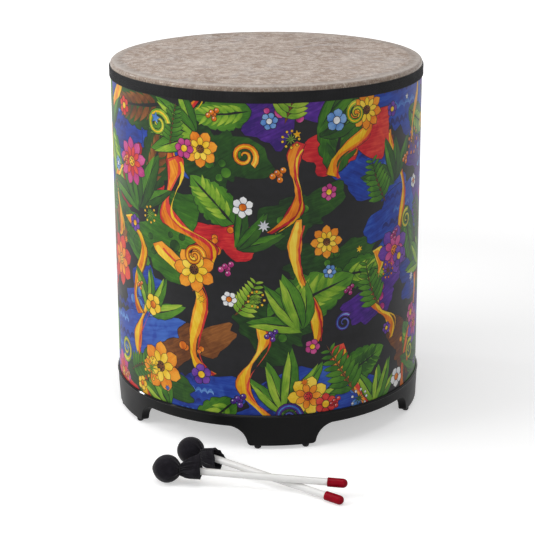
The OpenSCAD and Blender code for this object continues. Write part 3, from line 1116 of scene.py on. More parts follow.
def midrib(x, y, angle, length, width, bend, steps):
    rib = drop(length * RIB_REACH, width * RIB_BREADTH, fullness=0.5, bend=bend, steps=steps)
    stamp(rib, "night", x, y, angle, length, width / 2, edge=0)


def leaf(x, y, angle, length, width, inks):
    bend = draw.uniform(*LEAF_BEND)
    blade = drop(length, width, **LEAF_FORM, bend=bend, steps=10)
    side = drop(length * 0.94, width * 0.46, **LEAF_FORM, bend=bend, steps=8) + [0, width * 0.2]
    stamp(blade, inks[0], x, y, angle, length, width / 2)
    stamp(side, inks[1], x, y, angle, length, width / 2, edge=0)
    midrib(x, y, angle, length, width, bend, steps=7)


def leaf_spray(x, y, angle, size, count, inks):
    middle = (count - 1) / 2
    for k in np.argsort(np.abs(np.arange(count) - middle))[::-1]:
        lean = (k - middle) * draw.uniform(*SPRAY_LEAN)
        length = size * (1 - 0.1 * abs(lean)) * draw.uniform(*SPRAY_LENGTH)
        leaf(x, y, angle + lean, length, length * draw.uniform(*SPRAY_BREADTH), inks)


print("points of a leaf blade:", len(drop(1, 1, **LEAF_FORM, steps=10)))

# %% Broad leaves and fronds
BROAD_FORM = {"fullness": 0.8, "bluntness": 0.8}
BROAD_WIDTH = (0.46, 0.62)
BROAD_BEND = (-0.2, 0.2)
BROAD_RIBS = 6
FIRST_RIB = 0.14
RIB_RUN = 0.66
RIB_ANGLE = 0.8
NICK_DEPTH = 0.13
NICK_EVERY = 4
FROND_BEND = (-0.4, 0.4)
LEAFLET_FORM = {"fullness": 0.9, "bluntness": 0.8}
LEAFLETS = 8
FIRST_LEAFLET = 0.12
LEAFLET_RUN = 0.86
LEAFLET_ANGLE = 0.95
LEAFLET_SHARE = 0.34
LEAFLET_LEAST = 5


def broad_leaf(x, y, angle, length, inks):
    width = length * draw.uniform(*BROAD_WIDTH)
    bend = draw.uniform(*BROAD_BEND)
    blade = drop(length, width, **BROAD_FORM, bend=bend, steps=28)
    middle = bend * blade[:, 0] ** 2 / length
    nicks = 1 - NICK_DEPTH * (np.arange(len(blade)) % NICK_EVERY == 0)
    blade[:, 1] = middle + (blade[:, 1] - middle) * nicks
    stamp(blade, inks[0], x, y, angle, length, width / 2)
    for k in range(BROAD_RIBS):
        t = FIRST_RIB + RIB_RUN * k / BROAD_RIBS
        foot = carried(x, y, angle, length * t, bend * length * t * t)
        reach = width * (0.52 - 0.3 * abs(t - 0.35))
        for side in (1, -1):
            panel = drop(reach, reach * 0.3, fullness=0.7, bend=-0.15 * side, steps=6)
            stamp(panel, inks[1], *foot, angle + side * RIB_ANGLE, reach, reach * 0.15, edge=0)
    midrib(x, y, angle, length, width, bend, steps=8)


def frond(x, y, angle, size, ink):
    bend = draw.uniform(*FROND_BEND)
    stalk = drop(size, size * 0.05, fullness=0.3, bend=bend, steps=8)
    stamp(stalk, "brown", x, y, angle, size, size * 0.03, edge=THIN_EDGE)
    for k in range(LEAFLETS):
        t = FIRST_LEAFLET + LEAFLET_RUN * k / LEAFLETS
        foot = carried(x, y, angle, size * t, bend * size * t * t)
        lean = math.atan(2 * bend * t)
        length = size * LEAFLET_SHARE * (1 - t) ** 0.6 + LEAFLET_LEAST
        for side in (1, -1):
            leaflet = drop(length, length * 0.34, **LEAFLET_FORM, bend=0.1 * side, steps=6)
            way = angle + lean + side * LEAFLET_ANGLE
            stamp(leaflet, ink, *foot, way, length, length * 0.17, edge=FINE_EDGE)


print("ribs of a broad leaf:", BROAD_RIBS, "and leaflets on each side of a frond:", LEAFLETS)

# %% Vines and blossoms
VINE_WAVES = (0.8, 1.5)
VINE_SWING = (0.5, 1.1)
PETAL_FORM = {"fullness": 1.7, "bluntness": 0.7}
PETAL_REACH = (1.0, 0.64)
PETAL_BREADTH = (0.66, 0.56)
PETAL_EDGES = (0.9, 0.7)
EYE_SIZE = {1: 0.32, 2: 0.2}
EYE_DOTS = 6
DOT_PLACE = 0.58
DOT_SIZE = 0.2


def vine(x, y, angle, length, width, inks):
    phase = any_angle()
    waves = draw.uniform(*VINE_WAVES)
    swing = width * draw.uniform(*VINE_SWING)
    light = wavy(length * 0.98, width * 0.5, waves, swing, phase) + [0, width * 0.14]
    shadow = wavy(length * 0.95, width * 0.16, waves, swing, phase) - [0, width * 0.3]
    stamp(wavy(length, width, waves, swing, phase), inks[0], x, y, angle, length, width)
    stamp(light, inks[1], x, y, angle, length, width, edge=0)
    stamp(shadow, inks[2], x, y, angle, length, width, edge=0)


def blossom(x, y, size, petals, inks, rows=2):
    turn = any_angle()
    for row in range(rows):
        reach = size * PETAL_REACH[row]
        broad = TURN * reach / petals * PETAL_BREADTH[row]
        petal = drop(reach, broad, **PETAL_FORM, steps=7)
        for k in range(petals):
            way = turn + TURN * (k + row / 2) / petals
            stamp(petal, inks[row], x, y, way, reach, broad / 2, edge=EDGE * PETAL_EDGES[row])
    eye = size * EYE_SIZE[rows]
    stamp(round_shape(eye, steps=14), inks[2], x, y, turn, eye, eye)
    if rows == 2:
        dot = round_shape(eye * DOT_SIZE, steps=7)
        for k in range(EYE_DOTS):
            way = turn + math.pi * k / 3
            stamp(dot, "night", *towards(x, y, way, DOT_PLACE * eye), way, eye, eye, edge=0)


print("dots in the eye of a blossom:", EYE_DOTS)

# %% Seeds, berries and curls
SEED_STALKS = 9
STALK_LEAN = (-0.1, 0.1)
STALK_EDGE = 0.5
SEED_SIZE = 0.15
BERRIES = 5
BERRY_TURN = 2.4
BERRY_SPACING = 0.42
BERRY_SIZE = 0.36
SHINE_SIZE = 0.1
SHINE_SHIFT = (-0.1, 0.12)
CURL_BREADTH = 0.46
CURL_LIGHT = 0.14


def seed_head(x, y, size, ink, stalk_ink):
    stalk = drop(size * 0.8, size * 0.1, fullness=0.4, steps=4)
    dot = size * SEED_SIZE
    for k in range(SEED_STALKS):
        way = TURN * k / SEED_STALKS + draw.uniform(*STALK_LEAN)
        stamp(stalk, stalk_ink, x, y, way, size, size * 0.1, edge=STALK_EDGE)
        stamp(round_shape(dot, steps=9), ink, *towards(x, y, way, size), way, dot, dot, edge=FINE_EDGE)


def berries(x, y, size, ink):
    radius = size * BERRY_SIZE
    for k in range(BERRIES):
        px, py = towards(x, y, BERRY_TURN * k, size * BERRY_SPACING * math.sqrt(k))
        shine_x, shine_y = px + size * SHINE_SHIFT[0], py + size * SHINE_SHIFT[1]
        stamp(round_shape(radius, steps=11), ink, px, py, 0.8, radius, radius, edge=THIN_EDGE)
        stamp(round_shape(size * SHINE_SIZE, steps=6), "white", shine_x, shine_y, 0, size, size, edge=0)


def fiddlehead(x, y, radius, ink, light):
    turn = any_angle()
    stamp(curl(radius, radius * CURL_BREADTH), ink, x, y, turn, radius, radius)
    stamp(curl(radius, radius * CURL_LIGHT), light, x, y, turn, radius, radius, edge=0)


print("stalks of a seed head:", SEED_STALKS, "and berries in a bunch:", BERRIES)

# %% [markdown]
# The layout fills the sheet evenly without a grid. Each new place is the best of thirty random ones,
# the one farthest from all places so far, so motifs neither clump nor stand in rows. The layers
# follow each other as on a print: ground, leaves, flowers.

# %% Layout helpers
def spread(count, margin=0.0, tries=30):
    low, high = np.array([margin, margin]), np.array([print_w - margin, print_h - margin])
    chosen = [draw.uniform(low, high)]
    while len(chosen) < count:
        options = draw.uniform(low, high, (tries, 2))
        room = np.min(np.linalg.norm(options[:, None] - np.array(chosen)[None], axis=2), axis=1)
        chosen.append(options[np.argmax(room)])
    return chosen


def pick(choices):
    return choices[draw.integers(len(choices))]


print("room for motifs:", round(print_w * print_h / 1e6, 3), "square metres")

# %% Ground layer
GROUND_SPOTS = 68
GREEN_HILLS = [("deep_green", "leaf"), ("deep_green", "leaf"), ("leaf", "deep_green")]
BRIGHT_HILLS = [("purple", "magenta"), ("purple", "sky"), ("deep_green", "leaf"), ("blue", "sky"),
                ("brown", "orange"), ("red", "orange")]


def paint_ground():
    sheet = np.array([(0, 0), (print_w, 0), (print_w, print_h), (0, print_h)], float)
    stamp(sheet, "night", 0, 0, 0, print_w, print_h, edge=0)
    for k, (x, y) in enumerate(spread(GROUND_SPOTS)):
        if k % 5 in (0, 3):
            pond(x, y, draw.uniform(46, 78))
        elif k % 5 == 1:
            hill(x, y, draw.uniform(38, 62), *pick(GREEN_HILLS))
        else:
            hill(x, y, draw.uniform(34, 58), *pick(BRIGHT_HILLS))


paint_ground()
print("shapes on the ground:", len(motifs))

# %% Leaf layer
BROAD_LEAVES = 34
VINES = 38
SPRAYS = 30
FRONDS = 22
LEAVES_IN_SPRAY = [3, 4, 5]
BROAD_INKS = [("deep_green", "leaf"), ("leaf", "deep_green"), ("leaf", "lime"), ("deep_green", "brown")]
VINE_INKS = [("orange", "yellow", "red"), ("yellow", "orange", "brown"), ("red", "orange", "yellow")]
SPRAY_INKS = [("deep_green", "leaf"), ("leaf", "lime")]
FROND_INKS = ["leaf", "lime", "leaf", "deep_green"]


def paint_leaves():
    for x, y in spread(BROAD_LEAVES):
        inks = pick(BROAD_INKS)
        broad_leaf(x, y, any_angle(), draw.uniform(80, 140), inks)
    for x, y in spread(VINES):
        length = draw.uniform(110, 210)
        angle = draw.uniform(1.1, 2.0)
        inks = pick(VINE_INKS)
        vine(*towards(x, y, angle, -length / 2), angle, length, draw.uniform(14, 32), inks)
    for x, y in spread(SPRAYS):
        angle = draw.uniform(0.2, 2.9)
        leaf_spray(x, y, angle, draw.uniform(64, 105), pick(LEAVES_IN_SPRAY), pick(SPRAY_INKS))
    for x, y in spread(FRONDS):
        frond(x, y, draw.uniform(0.1, 3.0), draw.uniform(60, 100), pick(FROND_INKS))


paint_leaves()
print("shapes with the leaves:", len(motifs))

# %% Flower layer
LARGE_BLOSSOMS = 24
SMALL_BLOSSOMS = 56
CURLS = 18
SEED_HEADS = 18
BERRY_BUNCHES = 36
STARS = 30
STAR_WAIST = 0.45
STAR_POINTS = [5, 6, 8]
LARGE_INKS = [("red", "orange", "yellow"), ("orange", "yellow", "brown"), ("magenta", "red", "yellow"),
              ("purple", "magenta", "orange"), ("yellow", "orange", "red")]
SMALL_INKS = [("magenta", "red", "yellow"), ("red", "red", "yellow"), ("yellow", "red", "orange"),
              ("white", "white", "orange"), ("sky", "sky", "white"), ("purple", "sky", "yellow")]
CURL_INKS = [("lime", "yellow"), ("orange", "yellow"), ("purple", "sky")]
SEED_INKS = [("yellow", "lime"), ("white", "leaf"), ("orange", "brown")]
BERRY_INKS = ["red", "magenta", "purple", "orange"]
STAR_INKS = ["yellow", "orange", "white", "sky"]


def paint_flowers():
    for x, y in spread(LARGE_BLOSSOMS, margin=14):
        inks = pick(LARGE_INKS)
        blossom(x, y, draw.uniform(24, 44), int(draw.integers(6, 10)), inks)
    for x, y in spread(SMALL_BLOSSOMS, margin=6):
        inks = pick(SMALL_INKS)
        blossom(x, y, draw.uniform(9, 17), int(draw.integers(5, 7)), inks, rows=1)
    for x, y in spread(CURLS, margin=8):
        fiddlehead(x, y, draw.uniform(13, 22), *pick(CURL_INKS))
    for x, y in spread(SEED_HEADS, margin=8):
        seed_head(x, y, draw.uniform(10, 18), *pick(SEED_INKS))
    for x, y in spread(BERRY_BUNCHES, margin=6):
        berries(x, y, draw.uniform(7, 12), pick(BERRY_INKS))
    for x, y in spread(STARS, margin=6):
        size = draw.uniform(4, 9)
        star = pointed(size, size * STAR_WAIST, pick(STAR_POINTS))
        stamp(star, pick(STAR_INKS), x, y, any_angle(), size, size, edge=THIN_EDGE)


paint_flowers()
print("shapes painted:", len(motifs))

# %% [markdown]
# Printing inks. All inks share one brushwork effect: pools of thicker and thinner paint, strokes that
# run along each motif, and the tooth of the sheet. A map named motif tells the shader where it is on
# a shape, from its foot to its tip and from its middle to its sides, so a petal can be darker at its
# foot and at its edges. Each ink is then only three colours.

# %% Colours of the inks
INKS = {
    "night": (paint(13, 13, 15), paint(20, 20, 22), paint(30, 30, 33)),
    "deep_green": (paint(16, 40, 14), paint(34, 70, 24), paint(56, 98, 32)),
    "leaf": (paint(28, 64, 18), paint(54, 104, 28), paint(90, 142, 42)),
    "lime": (paint(70, 116, 28), paint(118, 160, 44), paint(176, 196, 70)),
    "deep_blue": (paint(18, 24, 88), paint(26, 42, 122), paint(40, 66, 150)),
    "blue": (paint(22, 36, 112), paint(34, 64, 156), paint(64, 104, 186)),
    "sky": (paint(46, 88, 168), paint(82, 130, 196), paint(136, 174, 216)),
    "purple": (paint(48, 22, 98), paint(82, 40, 138), paint(122, 74, 170)),
    "magenta": (paint(128, 20, 84), paint(176, 44, 120), paint(208, 96, 150)),
    "red": (paint(138, 14, 30), paint(192, 34, 44), paint(222, 82, 62)),
    "orange": (paint(178, 72, 14), paint(222, 122, 26), paint(240, 164, 52)),
    "yellow": (paint(212, 138, 16), paint(232, 186, 34), paint(244, 214, 84)),
    "brown": (paint(62, 32, 16), paint(104, 58, 26), paint(148, 92, 44)),
    "white": (paint(176, 178, 190), paint(222, 222, 224), paint(240, 240, 238)),
}
print("colours for", len(INKS), "inks")

# %% Brushwork
def make_brushwork_group():
    tree, given, result = new_group(
        "brushwork", [("Place", "Vector", None), ("Motif", "Vector", None), ("Tone", "Float", 0.5)],
        ["Value", "Tooth", "Gloss"])
    parts = add(tree, "SeparateXYZ", {"Vector": given["Motif"]}).outputs
    pools = between(tree, noise_of(tree, given["Place"], scale=52, detail=5, distortion=0.9), 0.28, 0.72)
    stroke_map = stretched(tree, given["Motif"], (2.2, 9, 1))
    strokes = between(tree, noise_of(tree, stroke_map, scale=1.6, detail=4, distortion=0.7), 0.3, 0.7)
    foot = between(tree, parts["X"], 0.0, 0.75)
    sides = between(tree, times(tree, parts["Y"], parts["Y"]), 0.3, 1.0)
    tooth = noise_of(tree, given["Place"], scale=1500, detail=2)
    value = weighted(tree, (foot, 0.34), (pools, 0.4), (strokes, 0.36), (given["Tone"], 0.26))
    value = maths(tree, "SUBTRACT", value, times(tree, sides, 0.2))
    put_out(tree, result, Value=maths(tree, "ADD", value, -0.16, clamp=True))
    put_out(tree, result, Tooth=tooth, Gloss=weighted(tree, (pools, 0.5), (tooth, 0.5)))
    return tree


brushwork_group = make_brushwork_group()
print("made", brushwork_group.name)

# %% Inks
ink_names = list(INKS)


def printed_ink(name, shades):
    material, tree, shader = new_material("ink_" + name)
    motif_map = add(tree, "UVMap", uv_map="motif").outputs["UV"]
    tone = add(tree, "Attribute", attribute_name="tone").outputs["Fac"]
    brush = use_group(tree, brushwork_group, Place=object_place(tree), Motif=motif_map, Tone=tone)
    colour = ramp(tree, brush["Value"], (0.08, shades[0]), (0.46, shades[1]), (0.9, shades[2]))
    gloss = between(tree, brush["Gloss"], 0.2, 0.8, 0.36, 0.5)
    relief = bump(tree, brush["Tooth"], strength=0.12, distance=0.2 * MM)
    set_shader(tree, shader, Base_Color=colour, Roughness=gloss, Specular_IOR_Level=0.2, Normal=relief)
    return material


ink_materials = [printed_ink(name, shades) for name, shades in INKS.items()]
print("inks:", ", ".join(ink_names))

# %% [markdown]
# The flat design now becomes a mesh. The sheet is cut into upright strips that are narrow enough to
# bend round the shell. Inside a strip, the visible outlines are given to a constrained Delaunay
# triangulation, which makes triangles that never cross an outline. Each triangle then takes the ink
# of the topmost shape over its middle. A coarse raster of the sheet tells which outlines can be
# seen at all, so that hidden ones cost nothing.

# %% Which shape is on top
STRIPS = 144
RASTER = 1.0
strip_w = print_w / STRIPS


def inside(outline, x, y):
    hit = np.zeros(x.shape, bool)
    ends = np.roll(outline, -1, 0)
    for (x0, y0), (x1, y1) in zip(outline, ends):
        if y0 != y1:
            crosses = (y0 > y) != (y1 > y)
            hit ^= crosses & (x < (x1 - x0) * (y - y0) / (y1 - y0) + x0)
    return hit


def top_shapes():
    columns, rows = int(print_w / RASTER) + 1, int(print_h / RASTER) + 1
    top = np.zeros((rows, columns), int)
    for number, motif in enumerate(motifs):
        low = np.maximum(np.floor(motif.outline.min(0) / RASTER), 0).astype(int)
        high = np.minimum(np.ceil(motif.outline.max(0) / RASTER) + 1, (columns, rows)).astype(int)
        if (high <= low).any():
            continue
        across = (np.arange(low[0], high[0]) + 0.5) * RASTER
        up = (np.arange(low[1], high[1]) + 0.5) * RASTER
        window = top[low[1]:high[1], low[0]:high[0]]
        window[inside(motif.outline, *np.meshgrid(across, up))] = number
    return top


top = top_shapes()
shares = {name: 0 for name in ink_names}
for number, cells in zip(*np.unique(top, return_counts=True)):
    shares[motifs[number].ink] += cells / top.size
print("ink shares:", {name: round(float(share), 3) for name, share in shares.items()})

# %% Outlines that show
SAMPLES = np.linspace(0.05, 0.95, 5)


def shows(number, start, end):
    points = start + SAMPLES[:, None] * (end - start)
    columns = np.clip((points[:, 0] / RASTER).astype(int), 1, top.shape[1] - 2)
    rows = np.clip((points[:, 1] / RASTER).astype(int), 1, top.shape[0] - 2)
    return any((top[r - 1:r + 2, c - 1:c + 2] == number).any() for r, c in zip(rows, columns))


def clipped(start, end):
    low, high = 0.0, 1.0
    for a, b, limit in ((start[0], end[0], print_w), (start[1], end[1], print_h)):
        if a == b:
            if not 0 <= a <= limit:
                return None
            continue
        first, last = sorted(((0 - a) / (b - a), (limit - a) / (b - a)))
        low, high = max(low, first), min(high, last)
    return None if low >= high else (start + low * (end - start), start + high * (end - start))


seen = set(np.unique(top))
segments = []
for number in seen - {0}:
    outline_points = motifs[number].outline
    for start, end in zip(outline_points, np.roll(outline_points, -1, 0)):
        kept = clipped(start, end)
        if kept is not None and shows(number, *kept):
            segments.append((*kept[0], *kept[1]))
segments = np.array(segments)
print("shapes that show:", len(seen), "with", len(segments), "edges")

# %% Triangles of one strip
WELD = 1e-4


def strip_edges(left, right):
    low = np.minimum(segments[:, 0], segments[:, 2])
    high = np.maximum(segments[:, 0], segments[:, 2])
    edges = []
    for x0, y0, x1, y1 in segments[(high > left) & (low < right)]:
        if x0 > x1:
            x0, y0, x1, y1 = x1, y1, x0, y0
        slope = (y1 - y0) / (x1 - x0) if x1 > x0 else 0.0
        if x0 < left:
            x0, y0 = left, y0 + slope * (left - x0)
        if x1 > right:
            x1, y1 = right, y1 - slope * (x1 - right)
        edges.append(((x0, y0), (x1, y1)))
    return edges


def strip_triangles(left, right):
    corners = [(left, 0), (right, 0), (right, print_h), (left, print_h)]
    pairs = list(zip(corners, corners[1:] + corners[:1])) + strip_edges(left, right)
    points = [Vector(p) for pair in pairs for p in pair]
    edges = [(2 * k, 2 * k + 1) for k in range(len(pairs))]
    places, _, faces, *_ = delaunay_2d_cdt(points, edges, [], 0, WELD)
    return np.array([tuple(p) for p in places]), np.array([face for face in faces if len(face) == 3])


def owners(places, left, right):
    x, y = places[:, 0], places[:, 1]
    best = np.zeros(len(places), int)
    columns = slice(max(int(left / RASTER) - 1, 0), int(right / RASTER) + 2)
    for number in np.unique(top[:, columns]):
        best[inside(motifs[number].outline, x, y)] = number
    return best


print("edges in the middle strip:", len(strip_edges(print_w / 2, print_w / 2 + strip_w)))

# %% Triangles of the sheet
SNAP_DIGITS = 4
sheet_points = {}
sheet_faces = []
sheet_owner = []


def point_number(x, y):
    return sheet_points.setdefault((round(x, SNAP_DIGITS), round(y, SNAP_DIGITS)), len(sheet_points))


for strip in range(STRIPS):
    left, right = strip * strip_w, (strip + 1) * strip_w
    points, triangles = strip_triangles(left, right)
    numbers = [point_number(x, y) for x, y in points.tolist()]
    belongs = owners(points[triangles].mean(1), left, right)
    for triangle, owner in zip(triangles, belongs):
        face = [numbers[k] for k in triangle]
        if len(set(face)) == 3:
            sheet_faces.append(face)
            sheet_owner.append(owner)
print("triangles in the sheet:", len(sheet_faces), "points:", len(sheet_points))

# %% [markdown]
# Last, the sheet is bent round the shell and closed. Its inner side needs no design, so each strip
# has only one plain face there. The two ends meet at the back with a thin gap, as on a real wrap.

# %% Bend the sheet round the shell
WRAP_T = 0.8
NEAR = 1e-3
sheet_top = round(print_h, SNAP_DIGITS)
sheet_end = round(print_w, SNAP_DIGITS)


def bent(x, y, radius):
    angle = -math.pi + (SEAM_HALF_GAP + x) / wrap_r
    return turn_point(radius, angle, wrap_low.z + y)


flat = np.array(list(sheet_points))
wrap_points = [bent(x, y, wrap_r) for x, y in flat]
wrap_faces = [tuple(face) for face in sheet_faces]
inner_number = {}
for number in np.nonzero((flat[:, 1] == 0) | (flat[:, 1] == sheet_top))[0]:
    inner_number[number] = len(wrap_points)
    wrap_points.append(bent(*flat[number], wrap_r - WRAP_T))
bottom = sorted((n for n in inner_number if flat[n, 1] == 0), key=lambda n: flat[n, 0])
upper = sorted((n for n in inner_number if flat[n, 1] > 0), key=lambda n: flat[n, 0])
for a, b in zip(bottom, bottom[1:]):
    wrap_faces.append((b, a, inner_number[a], inner_number[b]))
for a, b in zip(upper, upper[1:]):
    wrap_faces.append((a, b, inner_number[b], inner_number[a]))
for strip in range(STRIPS):
    left = round(strip * strip_w, SNAP_DIGITS) - NEAR
    right = round((strip + 1) * strip_w, SNAP_DIGITS) + NEAR
    low_side = [inner_number[n] for n in bottom if left <= flat[n, 0] <= right]
    high_side = [inner_number[n] for n in upper if left <= flat[n, 0] <= right]
    wrap_faces.append(tuple(low_side[::-1] + high_side))
for edge_x, order in ((0.0, 1), (sheet_end, -1)):
    side = sorted(np.nonzero(np.abs(flat[:, 0] - edge_x) < NEAR)[0], key=lambda n: -order * flat[n, 1])
    ends = [inner_number[side[-1]], inner_number[side[0]]]
    wrap_faces.append(tuple(side + ends))
wrap = make_piece("shell_wrap_print", wrap_points, wrap_faces, "drum", "printed_wrap", *ink_materials)
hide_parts("shell_wrap")

# %% Inks of the sheet
PLAIN_TONE = 0.5
owner_of = np.array(sheet_owner)
ink_of = np.array([ink_names.index(m.ink) for m in motifs])
tone_of = np.array([m.tone for m in motifs])
mesh = wrap.data
drawn = len(sheet_faces)
ink_numbers = np.zeros(len(mesh.polygons), int)
ink_numbers[:drawn] = ink_of[owner_of]
mesh.polygons.foreach_set("material_index", ink_numbers)
tones = np.full(len(mesh.polygons), PLAIN_TONE)
tones[:drawn] = tone_of[owner_of]
mesh.attributes.new("tone", "FLOAT", "FACE").data.foreach_set("value", tones)
print("drawn faces:", drawn, "of", len(mesh.polygons))

# %% [markdown]
# The sheet gets two maps. The first tells each ink where it is on its motif. The second lays the whole
# sheet out flat, in three panels on a square, with the plain inner faces in a spare corner. Blender
# could unwrap the mesh by itself, but the flat sheet already is its own perfect map.

# %% Maps of the sheet
PANELS = 3
BAKE_CELL = 0.5
BAKE_MARGIN = 0.005
SPARE_CORNER = 0.99
place_of = np.array([m.place for m in motifs])
corner_points = flat[np.array(sheet_faces).reshape(-1)]


def add_map(name, across, up, elsewhere):
    places = np.full((len(mesh.loops), 2), elsewhere)
    places[:3 * drawn, 0] = across
    places[:3 * drawn, 1] = up
    mesh.uv_layers.new(name=name).data.foreach_set("uv", places.reshape(-1))


x0, y0, turn, length, width = np.repeat(place_of[owner_of], 3, axis=0).T
dx, dy = corner_points[:, 0] - x0, corner_points[:, 1] - y0
along = (dx * np.cos(turn) + dy * np.sin(turn)) / length
across = (dy * np.cos(turn) - dx * np.sin(turn)) / width
add_map("motif", along, across, 0.0)
middle_x = flat[np.array(sheet_faces)].mean(1)[:, 0]
panel = np.repeat((middle_x // (print_w / PANELS)).astype(int).clip(0, PANELS - 1), 3)
scale = (BAKE_CELL - 2 * BAKE_MARGIN) / max(print_w / PANELS, print_h)
panel_x = corner_points[:, 0] - panel * print_w / PANELS
bake_x = BAKE_MARGIN + BAKE_CELL * (panel % 2) + scale * panel_x
bake_y = BAKE_MARGIN + BAKE_CELL * (panel // 2) + scale * corner_points[:, 1]
add_map("OFBake", bake_x, bake_y, SPARE_CORNER)
print("maps of the sheet:", [layer.name for layer in mesh.uv_layers])

# %% Normals of the sheet
corner_normals = np.zeros((len(mesh.loops), 3))
for face in mesh.polygons:
    for k in face.loop_indices:
        vertex = mesh.vertices[mesh.loops[k].vertex_index].co
        corner_normals[k] = (vertex.x, vertex.y, 0) if face.index < drawn else face.normal
mesh.normals_split_custom_set(corner_normals / np.linalg.norm(corner_normals, axis=1, keepdims=True))
print("wrap finished with", len(ink_names), "inks")

# %% [markdown]
# Each beater's head is a ball in a bag of black stretch knit. The bag is a short tube of cloth, sewn
# shut at the front, pulled over the ball and tied at the neck, and its open end stands off the rod
# in folds. The form is made as a net: rings of points from the sewn end, over the ball, through the
# neck and out to the hem. The hem is one smooth loop through a few given points: a
# tall fold at the top, a full belly below and a soft valley at each side. A cloth simulation could
# let the folds fall, but this stiff little skirt keeps the shape that it was tied in.

# %% Knit cloth
WALE_MM = 0.55
COURSE_SHARE = 0.7
LINT = paint(60, 59, 64)


def black_knit():
    material, tree, shader = new_material("cover_black_knit")
    place = add(tree, "UVMap", uv_map="cloth").outputs["UV"]
    wales = 1 / (WALE_MM * MM)
    courses = COURSE_SHARE / (WALE_MM * MM)
    threads = use_group(tree, threads_group, Map=place, Across=wales, Along=courses)
    handling = use_group(tree, handling_group, Place=object_place(tree), Scale=70.0)
    lint = between(tree, noise_of(tree, object_place(tree), scale=900, detail=3), 0.62, 0.72)
    # The weave part of this mix is painted shade in the dips between threads; the cloud is wear.
    weave_shade_and_wear = weighted(tree, (threads["Shade"], 0.5), (handling["Cloud"], 0.5))
    colour = ramp(tree, weave_shade_and_wear, (0.1, paint(17, 15, 20)), (0.6, paint(29, 27, 33)), (1.0, paint(43, 41, 47)))
    colour = tinted(tree, colour, lint, 0.25, LINT)
    relief = bump(tree, threads["Height"], strength=0.45, distance=0.2 * MM)
    set_shader(tree, shader, Base_Color=colour, Roughness=between(tree, weave_shade_and_wear, 0, 1, 0.95, 0.78))
    set_shader(tree, shader, Specular_IOR_Level=0.12, Normal=relief)
    set_shader(tree, shader, Sheen_Weight=0.2, Sheen_Roughness=0.4)
    return material


cover_knit = black_knit()
print("made", cover_knit.name)

# %% Ball of a cover
COVER_R = 19.2
NECK_R = 6.4
SEWN_END = 1.5
SEWN_SPREAD = 0.34
PLEATS = ((13, 0.0, 0.7), (9, 1.3, 0.6), (22, 0.7, 0.3))
CREASE_START = 0.55
CREASE_RUN = 0.45
CREASE_DEPTH = 0.7
LUMP = 0.25
LUMP_SCALE = 1.7
neck_turn = math.pi - math.asin(NECK_R / COVER_R)
neck_s = -COVER_R * math.cos(neck_turn)


def pleat(angle):
    return sum(height * math.cos(count * angle + phase) for count, phase, height in PLEATS)


def ball_ring(share, angles):
    turn = neck_turn * share
    crease = max(0.0, share - CREASE_START) / CREASE_RUN
    nub = SEWN_END * math.exp(-(turn / SEWN_SPREAD) ** 2)
    ring = []
    for a in angles:
        spot = Vector((turn * LUMP_SCALE, math.cos(a) * LUMP_SCALE, math.sin(a) * LUMP_SCALE))
        r = (COVER_R + LUMP * noise.noise(spot)) * math.sin(turn) + CREASE_DEPTH * crease ** 2 * pleat(a)
        ring.append((-COVER_R * math.cos(turn) - nub, r * math.cos(a), r * math.sin(a)))
    return ring


print("the neck is", round(neck_s, 1), "mm behind the middle of the ball")

# %% Skirt of a cover
HEM_S = 47.0
HEM_FOLD = 0.35
HEM_FOLD_SHARE = 0.92
PLEAT_DEPTH = 1.3
CLOTH_WAVE = 2.0
WAVE_ROUND = 3.1
WAVE_ALONG = 1.9
FADE = 0.7
HemPoint = namedtuple("HemPoint", "side up longer early")


def smooth_loop(knots, count):
    knots = np.array(knots, float)
    steps = np.arange(count) * len(knots) / count
    k = steps.astype(int)
    t = (steps - k)[:, None]
    p0, p1, p2, p3 = (knots[(k + step) % len(knots)] for step in (-1, 0, 1, 2))
    bend = 2 * p0 - 5 * p1 + 4 * p2 - p3 + t * (3 * (p1 - p2) + p3 - p0)
    return p1 + 0.5 * t * (p2 - p0 + t * bend)


def skirt_ring(share, hem, angles, seed):
    ring = []
    for a, (side, up, longer, early) in zip(angles, hem):
        swell = share * (1 - early) + (1 - (1 - share) ** 3) * early
        spot = Vector((WAVE_ROUND * math.cos(a), WAVE_ROUND * math.sin(a), WAVE_ALONG * share + seed))
        wave = CLOTH_WAVE * noise.noise(spot) * share ** FADE
        out = PLEAT_DEPTH * (1 - share) ** FADE * pleat(a) + wave + HEM_FOLD * (share > HEM_FOLD_SHARE)
        y = NECK_R * math.cos(a) * (1 - swell) + side * swell + out * math.cos(a)
        z = NECK_R * math.sin(a) * (1 - swell) + up * swell + out * math.sin(a)
        ring.append((neck_s + (HEM_S + longer - neck_s) * share, y, z))
    return ring


print("the skirt is", round(HEM_S - neck_s, 1), "mm long before its flaps")

# %% Making a cover
AROUND = 180
BALL_RINGS = 36
SKIRT_RINGS = 32
CLOTH_T = 0.9
BAG_ROUND = 0.098
BAG_LENGTH = 0.082


def lay_frame(beater):
    core_low, core_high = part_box(beater + "_core")
    rod_low, rod_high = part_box(beater + "_rod")
    middle = (core_low + core_high) / 2
    along = ((rod_low + rod_high) / 2 - middle).normalized()
    side = Vector((0, 0, 1)).cross(along).normalized()
    turn = Matrix((along, side, along.cross(side))).transposed()
    return Matrix.Translation(middle) @ turn.to_4x4()


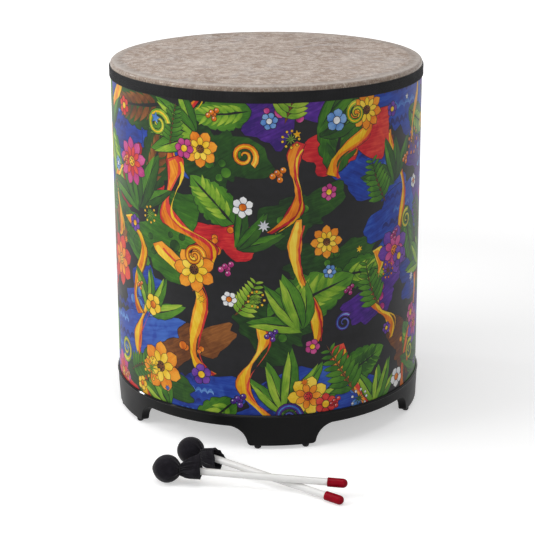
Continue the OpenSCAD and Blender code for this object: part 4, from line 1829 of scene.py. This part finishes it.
def make_cover(beater, body, hem_points, seed):
    hem = smooth_loop(hem_points, AROUND)
    middle_up = sum(p.up for p in hem_points) / len(hem_points)
    angles = [math.atan2(up - middle_up, side) for side, up, longer, early in hem]
    rings = [ball_ring((k + 1) / BALL_RINGS, angles) for k in range(BALL_RINGS)]
    rings += [skirt_ring(k / SKIRT_RINGS, hem, angles, seed) for k in range(1, SKIRT_RINGS + 1)]
    local = [p for ring in rings for p in ring] + [(-COVER_R - SEWN_END, 0, 0)]
    place = lay_frame(beater)
    points = [(place @ (Vector(p) * MM)) / MM for p in local]
    faces = net_faces(len(rings), AROUND, False, True)
    pole = len(points) - 1
    faces += [(pole, (k + 1) % AROUND, k) for k in range(AROUND)]
    cover = make_piece(beater + "_cloth_cover", points, faces, body, "black_cloth", cover_knit)
    face_outwards(cover)
    run = BAG_LENGTH / len(rings)
    cloth_map = [(BAG_ROUND * (k % AROUND) / AROUND, run * (k // AROUND)) for k in range(len(points))]
    give_map(cover, "cloth", cloth_map)
    thickness = cover.modifiers.new("cloth thickness", "SOLIDIFY")
    thickness.thickness = CLOTH_T * MM
    thickness.offset = -1
    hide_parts(beater + "_cover")
    area = sum(face.area for face in cover.data.polygons)
    print(f"{beater} cover: {area / (BAG_ROUND * BAG_LENGTH):.2f} of its flat area")


print("rings in a cover:", BALL_RINGS + SKIRT_RINGS)

# %% Covers
UPPER_HEM = [
    HemPoint(10.5, 0.5, 0.5, 0.7), HemPoint(7.0, 8.0, 0.0, 0.6), HemPoint(4.0, 15.5, 0.5, 0.45),
    HemPoint(0.0, 26.5, 0.8, 0.5), HemPoint(-4.5, 17.0, 1.6, 0.5), HemPoint(-7.5, 8.5, 1.4, 0.8),
    HemPoint(-11.5, 1.0, 3.0, 1.5), HemPoint(-9.0, -7.0, 2.2, 1.9), HemPoint(-0.5, -10.0, 0.4, 2.0),
    HemPoint(8.0, -7.0, 0.5, 1.5)]
LOWER_HEM = [
    HemPoint(10.5, -4.5, 3.5, 0.6), HemPoint(10.0, 0.5, 5.5, 0.4), HemPoint(7.0, 8.0, 0.0, 0.4),
    HemPoint(-1.0, 16.5, -4.0, 0.4), HemPoint(-8.5, 14.0, -3.5, 0.4), HemPoint(-9.0, 6.0, 0.0, 0.8),
    HemPoint(-12.5, -1.5, 2.0, 1.5), HemPoint(-9.5, -11.0, 3.5, 1.9), HemPoint(-1.0, -12.5, 5.0, 1.6),
    HemPoint(7.0, -9.0, 2.5, 1.0)]
make_cover("mallet_1", "upper_mallet", UPPER_HEM, seed=0.3)
make_cover("mallet_2", "lower_mallet", LOWER_HEM, seed=5.1)
